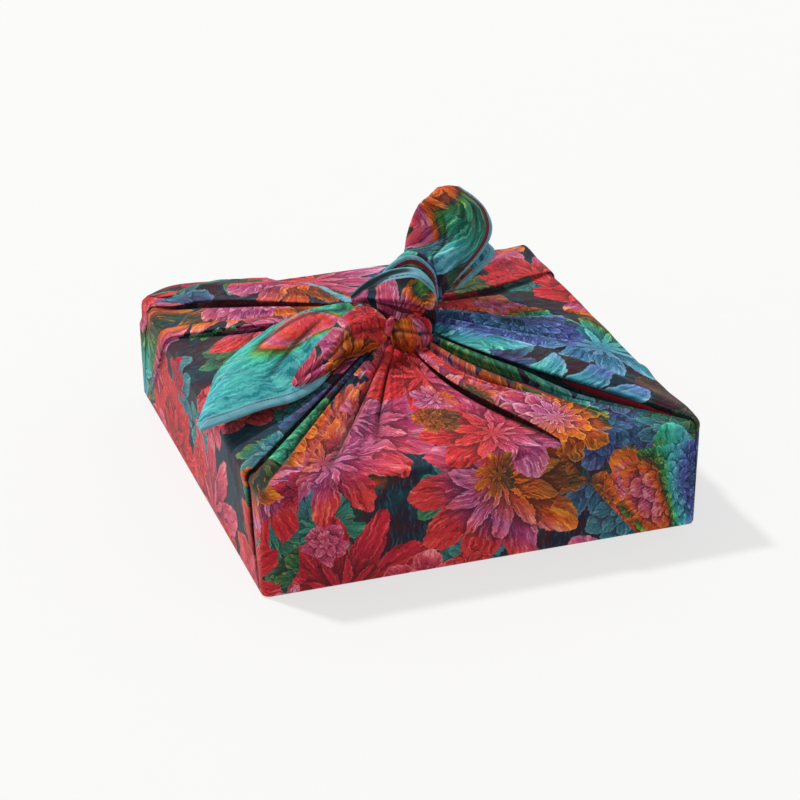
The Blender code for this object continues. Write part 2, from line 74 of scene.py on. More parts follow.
# Folds, as in the solid: place on the rim, direction at the knot, bow, heights at knot, near,
# middle and rim, stand-off from the side, drift along the rim's line down to the floor.
FOLD_COLUMNS = ("edge", "collar", "bow", "knot", "near", "middle", "rim", "side", "drift")
FOLDS = (
    (8, -129, 0, 14, 11, 7.5, 1.8, 0.4, 0), (20, -124, 0, 13, 9.5, 5.8, 0.9, 0.2, 0),
    (30, -120, 0, 12, 6.8, 3.2, 0, 0, 0), (37, -115, 0, 13, 9.8, 6.4, 1, 0.2, 0),
    (45, -111, 0, 13, 8.6, 4.6, 0.3, 0, 0), (52, -107, -2, 12, 6.4, 2.8, 0, 0, 0),
    (61, -103, -2, 12, 7.2, 3.6, 0.2, 0, 0), (100, -95, -4, 11, 6.4, 2.8, 0, 0, 8),
    (134, -87, -5, 11, 5.6, 2.2, 0, 0, 30), (141, -84, -5, 10, 5, 1.8, -0.2, -0.4, 38),
    (144, -81, -6, 12, 9, 6, 1.9, 1.4, 38), (162, -75, -10, 12, 9.8, 6.8, 1.6, 0.8, 24),
    (182, -69, -15, 12, 10.4, 7.6, 1.4, 0.4, 12), (190, -65, -16, 10, 5, 2.6, 0.9, 0.2, 8),
    (196, -61, -14, 14, 11.5, 2.4, 0.5, 0.1, 4), (201, -56, -11, 12, 7.2, 1.8, 0.4, 0, 3),
    (205, -51, -8, 16, 12.8, 3, 0.4, 0, 2), (209, -46, -4, 14, 6.4, 2.2, 0.2, 0, 0),
    (211.5, -43, -2, 18, 14, 10.4, 2.4, 0.5, 0), (223, -34, 2, 20, 17.5, 14, 3.2, 0.6, -8),
    (246, -22, 2, 19, 14, 8.6, 1.2, 0, -29), (260, -15, 0, 20, 13.6, 8, 0.9, 0, -42),
    (272, -9, 0, 21, 15.4, 9.6, 1.7, 1, -52), (278, -6, 0, 20, 13.2, 7.4, 0.5, 0, -52),
    (301, 2, 0, 20, 11.6, 5.4, 0, 0, -18), (318, 9, 0, 22, 14.6, 8.2, 0.7, 0, -4),
    (338, 16, 0, 21, 12.2, 5.6, 0, 0, 0), (366, 25, 0, 23, 13.8, 6.6, 0.3, 0, 6),
    (389, 33, 0, 22, 12, 5.2, 0, -1, 20), (392, 35, 0, 24, 15.6, 8.8, 1.4, 0.4, 20),
    (410, 40, 0, 24, 15, 8, 0.7, 0.2, 10), (423, 44, 0, 24, 16.4, 9.4, 1.6, 0.2, 3),
    (431, 48, 0, 24, 15.4, 8.2, 1.2, 0, 0), (443, 56, 0, 23, 12.8, 5.6, 0, 0, 0),
    (456, 63, 0, 24, 15.2, 8, 0.8, 0, 0), (474, 70, 0, 23, 12.6, 5.4, 0, 0, 0),
    (491, 76, 2, 24, 13.6, 6.4, 0.2, 0, 0), (530, 86, 4, 24, 13.2, 5.8, 0, 0, 8),
    (564, 95, 5, 24, 12.6, 5.2, 0, 0, 30), (571, 98, 5, 24, 12.4, 5, -0.2, -0.4, 38),
    (575, 101, 2, 25, 16.5, 9.8, 2.6, 1.4, 38), (598, 112, 0, 26, 20.5, 14, 4.4, 0.8, 24),
    (624, 126, 0, 28, 25, 18.4, 6.4, 0.6, 6), (641, 136, 2, 28, 24.6, 18.2, 3.2, 0.8, 0),
    (653, 143, 3, 27, 21.8, 14.8, 2.6, 0.6, -8), (658, 147, 3, 26, 18.6, 10.8, 1.2, 0, -12),
    (672, 154, 3, 26, 20, 12.8, 2.2, 0, -25), (685, 160, 3, 24, 17.2, 10, 0.9, -0.6, -37),
    (689, 163, 3, 25, 19.4, 12.6, 2.9, 2, -40), (694, 166, 3, 24, 19, 12.4, 2.9, 2, -43),
    (698, 169, 3, 22, 15.8, 8.8, 0.6, 0.4, -44), (716, 175, 2, 22, 15.8, 8.6, 0.7, 0.2, -34),
    (738, 182, 0, 21, 15, 8.2, 0.6, 0.1, -14), (760, 189, 0, 19, 12.2, 5.6, 0, 0, 0),
    (785, 197, 0, 18, 12.8, 6.6, 0.4, 0, 4), (808, 205, 0, 16, 10.2, 4.8, 0, 0.2, 10),
    (828, 212, 0, 16, 11.4, 6.4, 1, 0.7, 15), (835, 215, 0, 16, 11.4, 6.6, 1.3, 0.9, 17),
    (838, 217, 0, 13, 6.8, 2.4, -1.2, -2.4, 17), (841, 219, 0, 14, 9.6, 5.4, 0.5, 0.2, 15),
    (847, 222, 0, 15, 11.2, 7.4, 1.2, 0.3, 10.5), (854, 227, 0, 13, 8, 4, 0.1, 0, 5),
)

# Lips of pleats, which hang a little over their foot: from, to, by how much, in mm
LIPS = (
    (141, 144, 2), (190, 196, 0.8), (201, 205, 0.8), (209, 211.5, 3.2), (389, 392, 1.2),
    (571, 575, 1.5), (653, 658, 2), (685, 689, 1.8), (694, 698, 1.2), (835, 838, 1.2),
)

# Small creases, listed one by one: place on the rim, from, to (0 knot, 1 rim, 2 floor), half width
# in mm, height in mm (below 0 a trough), and how far it wanders along the rim by its end, in mm.
CREASES = (
    (839.6, 0.97, 2.02, 3.4, -2, 0), (638, 0.8, 1.25, 16, -5, 0), (657.6, 0.02, 1, 1.5, -2.2, 0),
    (685.2, 0.04, 1, 1.3, -1.6, 0), (698, 0.06, 0.98, 1.4, -1.3, 0),
    (208.4, 0.03, 1.02, 1.7, -2.6, 0), (201, 0.04, 0.7, 1.6, -1.8, 0),
    (190, 0.05, 0.8, 1.9, -1.8, 0), (140.6, 0.05, 1, 1.4, -0.9, 0), (30, 0.03, 0.9, 1.5, -1.6, 0),
    (52.4, 0.03, 0.8, 1.8, -1.5, 0), (854, 0.05, 0.95, 1.4, -1.4, 0),
    (278, 0.03, 0.9, 1.8, -1.2, 0), (301, 0.03, 0.85, 2.2, -1.6, 0), (338, 0.03, 0.8, 2.2, -1.4, 0),
    (443, 0.03, 0.9, 1.8, -1.2, 0), (474, 0.03, 0.85, 2, -1.4, 0), (760, 0.03, 0.7, 2.6, -1.2, 0),
    (4, 0.05, 0.95, 3, 1, 3), (13, 0.1, 0.8, 1.6, -0.9, 3), (25, 0.05, 0.55, 1.6, 0.8, -2),
    (41, 0.1, 0.92, 1.4, -0.9, 3), (57, 0.05, 0.7, 2, 0.9, 6), (79, 0.05, 0.62, 3, 0.9, 3),
    (104, 0, 0.3, 4, 0.7, 4), (152, 0.1, 0.9, 2.6, -0.7, 8), (160, 0.3, 0.99, 2.2, 0.6, 10),
    (171, 0.05, 0.7, 2.2, 0.8, 5), (176, 0.2, 0.98, 1.6, -0.8, 4), (186, 0.1, 0.75, 1.4, 0.8, 2),
    (216, 0.05, 0.75, 2, -0.8, 2), (229, 0.1, 0.98, 2.2, -1, 3), (235, 0, 0.7, 2, 0.8, 5),
    (241, 0.15, 0.9, 1.8, -0.8, 6), (253, 0.05, 0.85, 2.2, 0.9, 2), (265, 0.02, 0.6, 2.2, -0.9, 3),
    (284, 0, 0.8, 2.6, 1, 4), (292, 0.1, 0.96, 2.2, -0.8, -3), (309, 0, 0.62, 2.4, 0.8, 0),
    (326, 0.05, 0.88, 2.6, -0.8, 4), (332, 0, 0.55, 2.2, 0.9, -2), (346, 0.02, 0.75, 2.8, 0.9, 4),
    (355, 0, 0.6, 2.6, -0.9, 2), (376, 0.05, 0.86, 2.8, 0.8, 2), (400, 0.05, 0.9, 2.4, -0.8, 2),
    (416, 0.05, 0.8, 2, -0.8, 0), (437, 0.02, 0.8, 1.8, 0.8, 2), (449, 0.05, 0.86, 1.8, -0.8, 2),
    (464, 0, 0.8, 2.4, 0.8, 3), (483, 0, 0.66, 2.4, -0.9, 3), (500, 0.02, 0.7, 3, 0.9, 2),
    (545, 0.02, 0.6, 3, -0.8, 0), (585, 0.05, 0.85, 2.4, -0.9, 3), (592, 0.1, 0.9, 2.4, 0.8, 4),
    (606, 0.05, 0.8, 2.8, -0.7, 2), (617, 0.3, 0.98, 2.6, 0.7, 3), (632, 0.02, 0.6, 2.2, -0.7, 0),
    (647, 0.1, 0.92, 1.6, -0.8, 0), (664, 0, 0.75, 1.8, 0.7, 2), (678, 0.1, 0.9, 1.8, -0.8, -2),
    (706, 0.05, 0.92, 2.2, 0.9, 3), (712, 0.2, 0.8, 1.8, -0.8, 3), (724, 0.05, 0.7, 2.4, -0.7, 4),
    (731, 0, 0.6, 2.4, 0.7, 4), (748, 0.05, 0.66, 2.6, -0.8, 2), (772, 0.02, 0.7, 2.6, 0.8, 3),
    (796, 0.05, 0.8, 2.4, -0.8, 2), (818, 0.05, 0.85, 2.2, 0.9, 2), (823, 0.2, 0.95, 1.4, -0.8, 1),
    (844, 0.1, 0.7, 1.2, -0.7, 1), (851, 0.05, 0.85, 1.4, 0.8, 1), (857, 0.05, 0.75, 1.4, 0.8, 2),
    (15, 0.96, 1.75, 2.6, 0.5, -2), (33, 0.98, 1.45, 2.2, -0.5, 3), (52, 0.97, 1.35, 2.6, -0.5, 3),
    (76, 0.98, 1.3, 4, 0.4, 0), (150, 0.98, 1.6, 2, 0.5, 0), (170, 0.97, 1.5, 2.6, -0.5, 0),
    (232, 0.97, 1.55, 3, -0.5, 0), (309, 0.97, 1.45, 3, -0.5, 2), (352, 0.97, 1.4, 3.4, 0.5, 0),
    (400, 0.98, 1.6, 2.2, 0.5, 0), (450, 0.97, 1.5, 2.6, -0.5, 0), (515, 0.98, 1.35, 4, 0.4, 0),
    (583, 0.98, 1.6, 2.2, 0.5, 0), (665, 0.98, 1.55, 2.2, 0.5, 0), (706, 0.98, 1.7, 2.4, 0.5, 0),
    (727, 0.97, 1.5, 2.6, -0.5, 3), (772, 0.97, 1.4, 3.4, -0.4, 0), (820, 0.97, 1.85, 2, 0.5, 0),
    (849, 0.98, 1.8, 1.4, -0.6, 0),
)

# Painted shade, laid over the deep troughs between the folds where little light comes: place, from,
# to, half width, depth
PAINTED_SHADE_TROUGHS = (
    (205, 0.2, 1, 4.5, 0.7), (197, 0, 0.4, 9, 0.45), (188, 0, 0.7, 3.5, 0.55),
    (142, 0.03, 1, 2.2, 0.5), (657, 0.03, 1, 3.2, 0.6), (686, 0.05, 0.98, 2.6, 0.5),
    (30, 0.05, 0.95, 3.4, 0.5), (53, 0.03, 0.8, 3.4, 0.4), (855, 0.05, 0.98, 3, 0.55),
    (838, 0.97, 2.05, 3.4, 0.75), (278, 0.03, 0.8, 3, 0.35), (301, 0.03, 0.7, 3.4, 0.35),
    (808, 0, 0.5, 5, 0.35), (760, 0, 0.4, 6, 0.3),
)

# Where folds hide cloth, so that the print breaks off there, and how much is hidden all the way
# down to the floor, in mm. Where that is 0 the print is whole at the rim and below.
TUCKS = (
    (17, 0), (30, 0), (42, 0), (52, 0), (142.2, 46), (176, 0), (190, 0), (202, 0), (210, 0),
    (238, 0), (260, 0), (278, 0), (301, 0), (338, 0), (366, 0), (390.3, 34), (443, 0), (474, 0),
    (502, 0), (573, 46), (612, 0), (656, 0), (686.5, 26), (696.5, 20), (725, 0), (760, 0), (808, 0),
    (837, 30), (854, 0),
)

# Broad colour of the print: place on the rim, way (0 knot, 1 rim, 2 floor), tone, spread
TONES = (
    (20, 0.5, 0.42, 1), (45, 0.6, 0.2, 1), (70, 1.5, 0.1, 1.6), (100, 0.7, 0.28, 1),
    (110, 1.3, 0.45, 0.9), (152, 1.3, 0.55, 1.3), (140, 0.5, 0.54, 0.7), (160, 0.6, 0.03, 1),
    (185, 0.9, 0.7, 0.8), (172, 1.5, 0.03, 0.8), (203, 1.5, 0.9, 0.6), (186, 0.25, 0.11, 0.6),
    (202, 0.3, 0.45, 0.7), (216, 0.3, 0.92, 0.7), (235, 0.35, 0.9, 1), (235, 0.8, 0.93, 1.1),
    (260, 0.5, 0.92, 1), (275, 0.85, 0.91, 0.8), (290, 0.5, 0.95, 0.9), (260, 1.5, 0.8, 1.5),
    (320, 0.6, 0.97, 1), (350, 0.5, 0.04, 0.7), (378, 0.6, 0.06, 0.9), (340, 1.6, 0.12, 1.5),
    (405, 0.6, 0.05, 1.2), (425, 1.5, 0.66, 1.3), (460, 0.6, 0.14, 1.2), (500, 1.5, 0.5, 1.5),
    (520, 0.6, 0.3, 1.3), (570, 1.5, 0.08, 1.3), (590, 0.6, 0.4, 1), (640, 0.8, 0.03, 1.3),
    (635, 0.2, 0.57, 0.7), (672, 0.8, 0.74, 1), (672, 0.3, 0.47, 0.8), (660, 1.5, 0.74, 1),
    (715, 0.6, 0.1, 1.2), (730, 1.5, 0.16, 1.4), (790, 1.5, 0.2, 1.5), (800, 0.6, 0.13, 1),
    (845, 0.8, 0.52, 0.8),
)

# The knot's bands and the tails, on the solid's, in millimetres
OVER_BAND = (
    ((-26, 6, 86.8), (-26.1, 5, 86.2), (-26.2, 4, 85.6), (-26.1, 3.5, 84.8), (-26, 3, 83.7)),
    (
        (-19.6, 6.5, 91.4), (-19.7, 4, 88.8), (-20.1, 1.2, 86.4), (-19.9, 0.5, 85.1),
        (-19.8, 0, 83.2),
    ),
    (
        (-12.8, 8, 93.9), (-13.3, 3, 90.1), (-13.6, -2.4, 86.5), (-13.1, -3, 84.3),
        (-13.3, -4.5, 81.1),
    ),
    ((-3.6, 8.5, 96), (-4.6, 2, 93.2), (-5.8, -6, 86.8), (-5.3, -6, 82.1), (-6.4, -9, 76.8)),
    ((6.5, 7.2, 95.5), (4, 0, 92.7), (1.2, -8.2, 85.8), (1.5, -7.5, 79), (-0.5, -11, 73.5)),
    ((13, 4.5, 90), (11.7, -1.7, 87.2), (8.6, -8.6, 81.6), (7.5, -8.3, 76), (4.5, -12, 71)),
    ((14.2, 1.5, 83), (13.4, -3.5, 80), (11.9, -8.4, 76), (10, -8.8, 72), (7.6, -11.5, 68.5)),
    ((12.4, 0, 72), (11.6, -3, 69), (10.4, -6, 67), (9.5, -7, 65), (7.5, -8, 63)),
)
LOW_BAND = (
    ((-10.6, -6, 73), (-10.8, -10, 69), (-10.2, -10, 62)),
    ((-8, -8, 77), (-8, -13.5, 70.5), (-7.5, -13, 60)),
    ((-1, -9, 78), (-1, -17, 70), (-2, -14.5, 59)),
    ((6.5, -7, 74), (7.5, -13.5, 68.5), (5.5, -11, 59)),
    ((8.6, -1, 70), (10.8, -5.5, 66), (9, -5, 59)),
)
KNUCKLE = (
    ((-12.7, -7, 76.4), (-12.6, -9.5, 75.4), (-13, -10.5, 73.3)),
    ((-14.8, -8, 80.2), (-14.6, -13.5, 77.4), (-15.4, -15, 72)),
    ((-18.4, -7, 84), (-19.4, -16, 80), (-18.7, -18, 69.7)),
    ((-22.7, -5, 84.8), (-25.2, -17, 81.1), (-24, -20, 68.8)),
    ((-27.5, -3.5, 83.6), (-30.3, -16.5, 80.2), (-30.9, -22, 68.2)),
    ((-34.7, -7, 82.1), (-35.1, -18, 79.2), (-38.5, -23.8, 68.6)),
    ((-42, -12.5, 78.4), (-42.5, -22, 74.6), (-45.5, -29.1, 66.4)),
    ((-50.7, -18.5, 75.2), (-49.7, -26.8, 72), (-52.1, -34.5, 65.5)),
    ((-57.1, -25.5, 72.4), (-56.7, -31.8, 70.5), (-59.4, -38.3, 65.7)),
    ((-65.1, -32.7, 70), (-63.9, -37.2, 68.5), (-66.2, -40.2, 66.3)),
    ((-69.5, -38.4, 67.4), (-69.2, -39.6, 67.1), (-69.1, -40.3, 66.2)),
)
NUB = (
    ((-17.5, -12.5, 73), (-16, -15.5, 74), (-13.2, -14.5, 72.5)),
    ((-15.2, -14, 78.6), (-14.2, -16.6, 79.4), (-12, -15.4, 78.2)),
    ((-13.6, -14.6, 81.6), (-12.8, -16.2, 82.3), (-11.4, -15.3, 81.6)),
    ((-12.6, -15, 82.6), (-12.3, -15.6, 82.8), (-11.8, -15.3, 82.6)),
)
BACK_BAND = (
    ((-8, 9, 90), (-7, 14, 89), (-6, 20, 78)),
    ((2, 12, 99), (3, 17, 98), (3, 25, 84)),
    ((8.5, 14, 99), (10, 19, 98), (10, 27, 83)),
    ((14, 14, 96), (17, 18, 94), (18, 26, 80)),
    ((17.5, 12, 91), (21, 15, 87), (22, 23, 76)),
    ((18, 9, 78), (22, 12, 75), (22, 20, 68)),
)
ARCH_FRONT = (
    ((-14, 9.5, 88), (-13.5, 9, 86.5), (-13, 8.5, 85)),
    ((-5, 11.5, 96.8), (-4.8, 10.3, 94.5), (-4.5, 9.2, 91.5)),
    ((2.6, 12.4, 100.3), (3.1, 10.6, 97.2), (3.6, 9, 93)),
    ((9, 13.6, 99), (9, 11.2, 95.6), (9, 9, 91)),
    ((14, 13.4, 95.4), (13.5, 10.6, 91.6), (13, 7.6, 87)),
    ((18, 12.2, 89.6), (16.8, 9, 86), (15.4, 5.6, 81)),
    ((19, 9.5, 79), (17.4, 7, 76), (15.4, 4, 72)),
)
FRONT_TAIL = (
    ((-24, -13, 72), (-25, -7, 79), (-26.5, 1, 83), (-28.5, 7, 82)),
    ((-34, -20, 69.5), (-35.5, -11, 78.5), (-37, 1, 82.8), (-42, 11, 79)),
    ((-45, -28, 66), (-48, -14, 77), (-47.5, 1, 82.2), (-55, 13, 74.5)),
    ((-57, -39.5, 63.6), (-61, -21, 75), (-61, -4, 79.5), (-70, 9, 71)),
    ((-71, -47.5, 62.8), (-75, -30, 73), (-78, -16, 76), (-85, -1, 68)),
    ((-86, -51, 63), (-89, -40, 70), (-94, -29, 72.5), (-98, -16, 67)),
    ((-101, -55.5, 62.5), (-103, -48, 66.5), (-105, -41, 68), (-107, -33, 65)),
    ((-112, -58.5, 62), (-113, -55, 63.6), (-114, -51.5, 64.2), (-114, -47, 63.6)),
    ((-118, -60.5, 61.5), (-118.3, -58.9, 62.2), (-118.5, -57.3, 62.4), (-118.5, -55.7, 62.2)),
)
BACK_TAIL = (
    (
        (20.8, 15, 76.1), (17.8, 11.5, 80.1), (15.2, 13, 82.5), (14.2, 19, 83.3), (20.7, 24, 78.1),
        (26, 23, 71.1),
    ),
    (
        (28.1, 18, 78.3), (22.3, 13, 86.8), (16.4, 15, 89.9), (11, 20, 88.6), (24.8, 27, 80.5),
        (30.7, 23, 74.7),
    ),
    (
        (32.8, 21, 79.8), (23.5, 15, 92.6), (17.4, 18, 95.9), (7.9, 22, 95.1), (28.3, 31, 82.6),
        (39.2, 29, 72.3),
    ),
    ((48, 28, 89), (34, 19, 99), (24, 23, 99), (9, 26, 98), (29, 38, 91), (60, 40, 81)),
    ((55, 32, 98), (38, 22, 107), (26, 27, 106), (13, 31, 107), (33, 43, 100), (57, 44, 89)),
    ((54, 36, 107), (39, 27, 115), (27, 32, 113), (19, 35, 115), (35, 45, 108), (53, 45, 101)),
    (
        (48, 38.5, 114.5), (38, 34, 118.2), (31, 36, 118), (25.5, 39, 117.3), (34, 46, 114.5),
        (46, 46, 111),
    ),
    (
        (42, 41.5, 118.6), (38.5, 40, 120.6), (35, 40.5, 121), (31.5, 42.5, 119.8),
        (35, 46.5, 118.5), (40.5, 46.5, 117.2),
    ),
)
# name, sections, sections made, faces across, swell, edges with a hem, hem and stripe in mm, the
# most of the width that a hem takes, the print's place in metres and its scale
STRIPS = (
    ("over_band", OVER_BAND, 84, 48, 0.16, (0,), 7.6, 0, 0.25, (2.405, 0.300, 1)),
    ("low_band", LOW_BAND, 40, 24, 0.1, (), 4, 0, 1, (1.52, 0.40, 1)),
    ("knuckle", KNUCKLE, 96, 34, 0.12, (), 4, 0, 1, (1.70, 0.31, 1)),
    ("nub", NUB, 24, 16, 0.3, (), 4, 0, 1, (1.81, 0.31, 1)),
    ("back_band", BACK_BAND, 48, 26, 0.24, (), 4, 0, 1, (1.90, 0.12, 1)),
    ("arch_front", ARCH_FRONT, 60, 14, 0.0, (0,), 2.4, 30, 1, (1.95, 0.12, 1)),
    ("front_tail", FRONT_TAIL, 120, 50, 0, (0,), 5.0, 0, 0.5, (2.17, 0.22, 0.6)),
    ("back_tail", BACK_TAIL, 84, 76, 0, (0, 1), 3.0, 3.2, 0.5, (2.47, 0.36, 0.8)),
)
# Broad colour of each strip's print: place along and across, tone, spread
STRIP_TONES = {
    "over_band": (
        (0.1, 0.4, 0.33, 0.2), (0.38, 0.36, 0.3, 0.2), (0.6, 0.34, 0.72, 0.14),
        (0.82, 0.4, 0.36, 0.14), (0.4, 0.78, 0.4, 0.2), (0.66, 0.8, 0.02, 0.16),
        (0.88, 0.8, 0.45, 0.14),
    ),
    "low_band": (
        (0.2, 0.5, 0.52, 0.2), (0.5, 0.5, 0.45, 0.2), (0.85, 0.5, 0.12, 0.2),
    ),
    "knuckle": (
        (0.1, 0.5, 0.42, 0.2), (0.32, 0.4, 0.33, 0.2), (0.5, 0.7, 0.44, 0.2),
        (0.82, 0.5, 0.28, 0.2),
    ),
    "nub": (
        (0.5, 0.5, 0.26, 1),
    ),
    "back_band": (
        (0.5, 0.5, 0.74, 1),
    ),
    "arch_front": (
        (0.5, 0.5, 0.05, 1),
    ),
    "front_tail": (
        (0.05, 0.72, 0.7, 0.12), (0.35, 0.58, 0.11, 0.12), (0.6, 0.5, 0.75, 0.13),
        (0.9, 0.5, 0.78, 0.3), (0.4, 0.15, 0.77, 0.14), (0.5, 0.92, 0.74, 0.12),
    ),
    "back_tail": (
        (0.5, 0.55, 0.11, 0.13), (0.33, 0.53, 0.44, 0.08), (0.57, 0.25, 0.63, 0.2),
        (0.33, 0.22, 0.78, 0.14), (0.85, 0.35, 0.4, 0.12), (0.4, 0.85, 0.78, 0.2),
    ),
}
STRIP_THICKNESS = 1.6
KNOT_CORE = (-2, 2, 77)
CORE_SIZE = (15, 11, 14)
STITCH_SHARE = 0.8  # of the hem's width
STITCH_PITCH = 2.1
THREAD_PITCH = 0.00042  # of the weave, in metres

# Small folds in each strip: from and to (along, across), half width and height in mm
STRIP_FOLDS = {
    "over_band": (
        ((-0.05, 0.15), (0.6, 0.06), 2, -2), ((0.1, 0.52), (0.95, 0.5), 1, 0.7),
        ((0.1, 0.6), (0.8, 0.57), 0.8, -0.8), ((0.58, 0.2), (0.86, 0.9), 0.9, 0.9),
        ((0.02, 0.8), (0.3, 0.92), 0.8, -0.8), ((0.12, 0.74), (0.95, 0.7), 1.4, -1),
        ((0.3, 0.62), (0.98, 0.88), 1.2, 0.6), ((0.2, 0.34), (0.8, 0.3), 1.8, -0.7),
        ((0.06, 0.2), (0.5, 0.4), 1, 0.5),
    ),
    "knuckle": (
        ((0.08, 0.34), (0.9, 0.44), 1.4, 0.7), ((0.1, 0.6), (0.95, 0.58), 1.5, -0.8),
        ((0.15, 0.84), (1, 0.74), 1.6, 1.3), ((0.2, 0.16), (0.55, 0.1), 1.4, -0.7),
        ((0.28, 0.95), (0.9, 0.93), 0.9, -0.9),
    ),
    "low_band": (
        ((0.1, 0.3), (1, 0.42), 1.3, -0.9), ((0.1, 0.62), (1, 0.6), 1.3, 0.5),
    ),
    "front_tail": (
        ((0.2, 0.52), (0.62, 0.22), 1.8, -1), ((0.1, 0.66), (0.34, 0.9), 1.4, -0.8),
        ((0, 0.6), (0.6, 0.78), 3.4, -0.9), ((0, 0.76), (0.5, 0.92), 2.6, 0.8),
        ((0.5, 0.36), (0.95, 0.55), 4, 0.6), ((0.3, 0.45), (0.8, 0.4), 3, -0.5),
    ),
    "back_tail": (
        ((0, 0.18), (0.7, 0.27), 2.2, 0.8), ((0.05, 0.33), (0.75, 0.36), 1.8, -1),
        ((0.3, 0.11), (0.85, 0.14), 1.8, -0.7), ((0.45, 0.22), (0.95, 0.3), 1.6, -0.5),
    ),
    "back_band": (
        ((0, 0.4), (1, 0.3), 1.6, -0.6),
    ),
}

# The hem that shows on the great left roll near the knot: way out from the knot, place, width in mm
ROLL_HEM = (
    (0.03, 652, 3.4), (0.09, 643, 3.4), (0.14, 634, 3), (0.19, 626, 2.4), (0.25, 620, 1.7),
    (0.36, 614, 1.1), (0.5, 611, 0.8),
)


def monotone(knots, values, at, sharp=0.0):
    """Smooth interpolation that never overshoots; troughs keep a share of their slopes."""
    knots = np.asarray(knots, float)
    values = np.asarray(values, float)
    step = np.diff(knots)[:, None]
    slope = np.diff(values, axis=0) / step
    before, after = slope[:-1], slope[1:]
    same_way = before * after > 0
    weight_a = 2 * step[1:] + step[:-1]
    weight_b = step[1:] + 2 * step[:-1]
    safe = [np.where(same_way, part, 1.0) for part in (before, after)]
    mean = (weight_a + weight_b) / (weight_a / safe[0] + weight_b / safe[1])
    trough = (before < 0) & (after > 0)
    arriving, leaving = slope[[*range(len(slope)), -1]], slope[[0, *range(len(slope))]]
    arriving, leaving = arriving.copy(), leaving.copy()
    arriving[1:-1] = np.where(same_way, mean, np.where(trough, before * sharp, 0.0))
    leaving = arriving.copy()
    leaving[1:-1] = np.where(same_way, mean, np.where(trough, after * sharp, 0.0))
    i = np.clip(np.searchsorted(knots, at, side="right") - 1, 0, len(knots) - 2)
    u = ((at - knots[i]) / step[i, 0])[:, None]
    return (
        (1 + 2 * u) * (1 - u) ** 2 * values[i]
        + u * (1 - u) ** 2 * step[i] * leaving[i]
        + u**2 * (3 - 2 * u) * values[i + 1]
        + u**2 * (u - 1) * step[i] * arriving[i + 1]
    )


def smooth(low, high, value):
    """Rises softly from 0 at low to 1 at high."""
    share = np.clip((value - low) / (high - low), 0, 1)
    return share * share * (3 - 2 * share)


def gap_round(at, place):
    """The distance round the rim between places in mm, the shorter way."""
    return np.abs((at - place + ROUND / 2) % ROUND - ROUND / 2)


def near_scale(way):
    """How much narrower folds are near the knot than at the rim."""
    return NARROWEST + (1 - NARROWEST) * min(way, 1)


def fold_values(at):
    """The columns of the folds at places along the rim in mm, in metres and radians."""
    rows = np.array(FOLDS, float)
    turn = np.zeros(rows.shape[1])
    turn[0], turn[1] = AROUND / MM, 360
    rows = np.vstack([rows[-3:] - turn, rows, rows[:3] + turn])
    found = monotone(rows[:, 0], rows[:, 1:], at, 0.7)
    columns = dict(zip(FOLD_COLUMNS[1:], found.T * MM))
    columns["collar"] = np.radians(monotone(rows[:, 0], rows[:, 1:2], at)[:, 0])
    for name in ("bow", "drift"):
        k = FOLD_COLUMNS.index(name)
        columns[name] = monotone(rows[:, 0], rows[:, k : k + 1], at)[:, 0] * MM
    return columns


def columns_round():
    """Places of the net's lines in mm, closer together over the lips and the corners."""
    around = AROUND / MM
    marks = {row[0] for row in FOLDS}
    marks |= {float(place) for place, _ in TUCKS}
    length, depth = BOX_LENGTH / MM, BOX_DEPTH / MM
    for corner in (0, length, length + depth, 2 * length + depth):
        marks |= {(corner + k * CORNER_RADIUS / MM / 3) % around for k in range(-3, 4)}
    marks = sorted(marks)
    places = []
    for here, after in zip(marks, marks[1:] + [marks[0] + around]):
        step = COLUMN_STEP
        for start, end, _ in LIPS:
            if here >= start - 0.01 and after <= end + 0.01:
                step = min(step, (end - start) / STEP_COLUMNS)
        count = max(1, math.ceil((after - here) / step - 0.01))
        places += [here + (after - here) * k / count for k in range(count)]
    return np.array(places)


def outline(at, inset):
    """Points of the wrapped box's outline, seen from above, and their outward directions."""
    sides = (BOX_LENGTH, BOX_DEPTH, BOX_LENGTH, BOX_DEPTH)
    at = np.mod(at, AROUND)
    starts = np.cumsum((0,) + sides)
    corner_xy = np.array([(-1, -1), (1, -1), (1, 1), (-1, 1), (-1, -1)]) * 0.5
    corner_xy = corner_xy * (BOX_LENGTH, BOX_DEPTH)
    side = np.clip(np.searchsorted(starts, at, side="right") - 1, 0, 3)
    along = at - starts[side]
    angle = np.radians(-90 + 90 * side).astype(float)
    core = corner_xy[side] + along[:, None] * np.stack([-np.sin(angle), np.cos(angle)], 1)
    radius = CORNER_RADIUS
    to_next = np.array(sides)[side] - along
    before, ahead = along < radius, to_next < radius
    angle = angle - np.where(before, (1 - along / radius) * math.pi / 4, 0)
    angle = angle + np.where(ahead, (1 - to_next / radius) * math.pi / 4, 0)
    normal = np.stack([np.cos(angle), np.sin(angle)], 1)
    limit = np.array([BOX_LENGTH, BOX_DEPTH]) / 2 - radius
    centre = np.clip(core, -limit, limit)
    return centre + (radius - inset) * normal, normal


def lip_shift(at):
    """How far each place moves along the rim so that a pleat's lip hangs over its foot."""
    moved = np.zeros(len(at))
    for start, end, amount in LIPS:
        share = (at - start) / (end - start)
        inside = (share > 0) & (share < 1)
        moved += np.where(inside, amount * np.sin(2 * math.pi * share), 0)
    return moved * MM


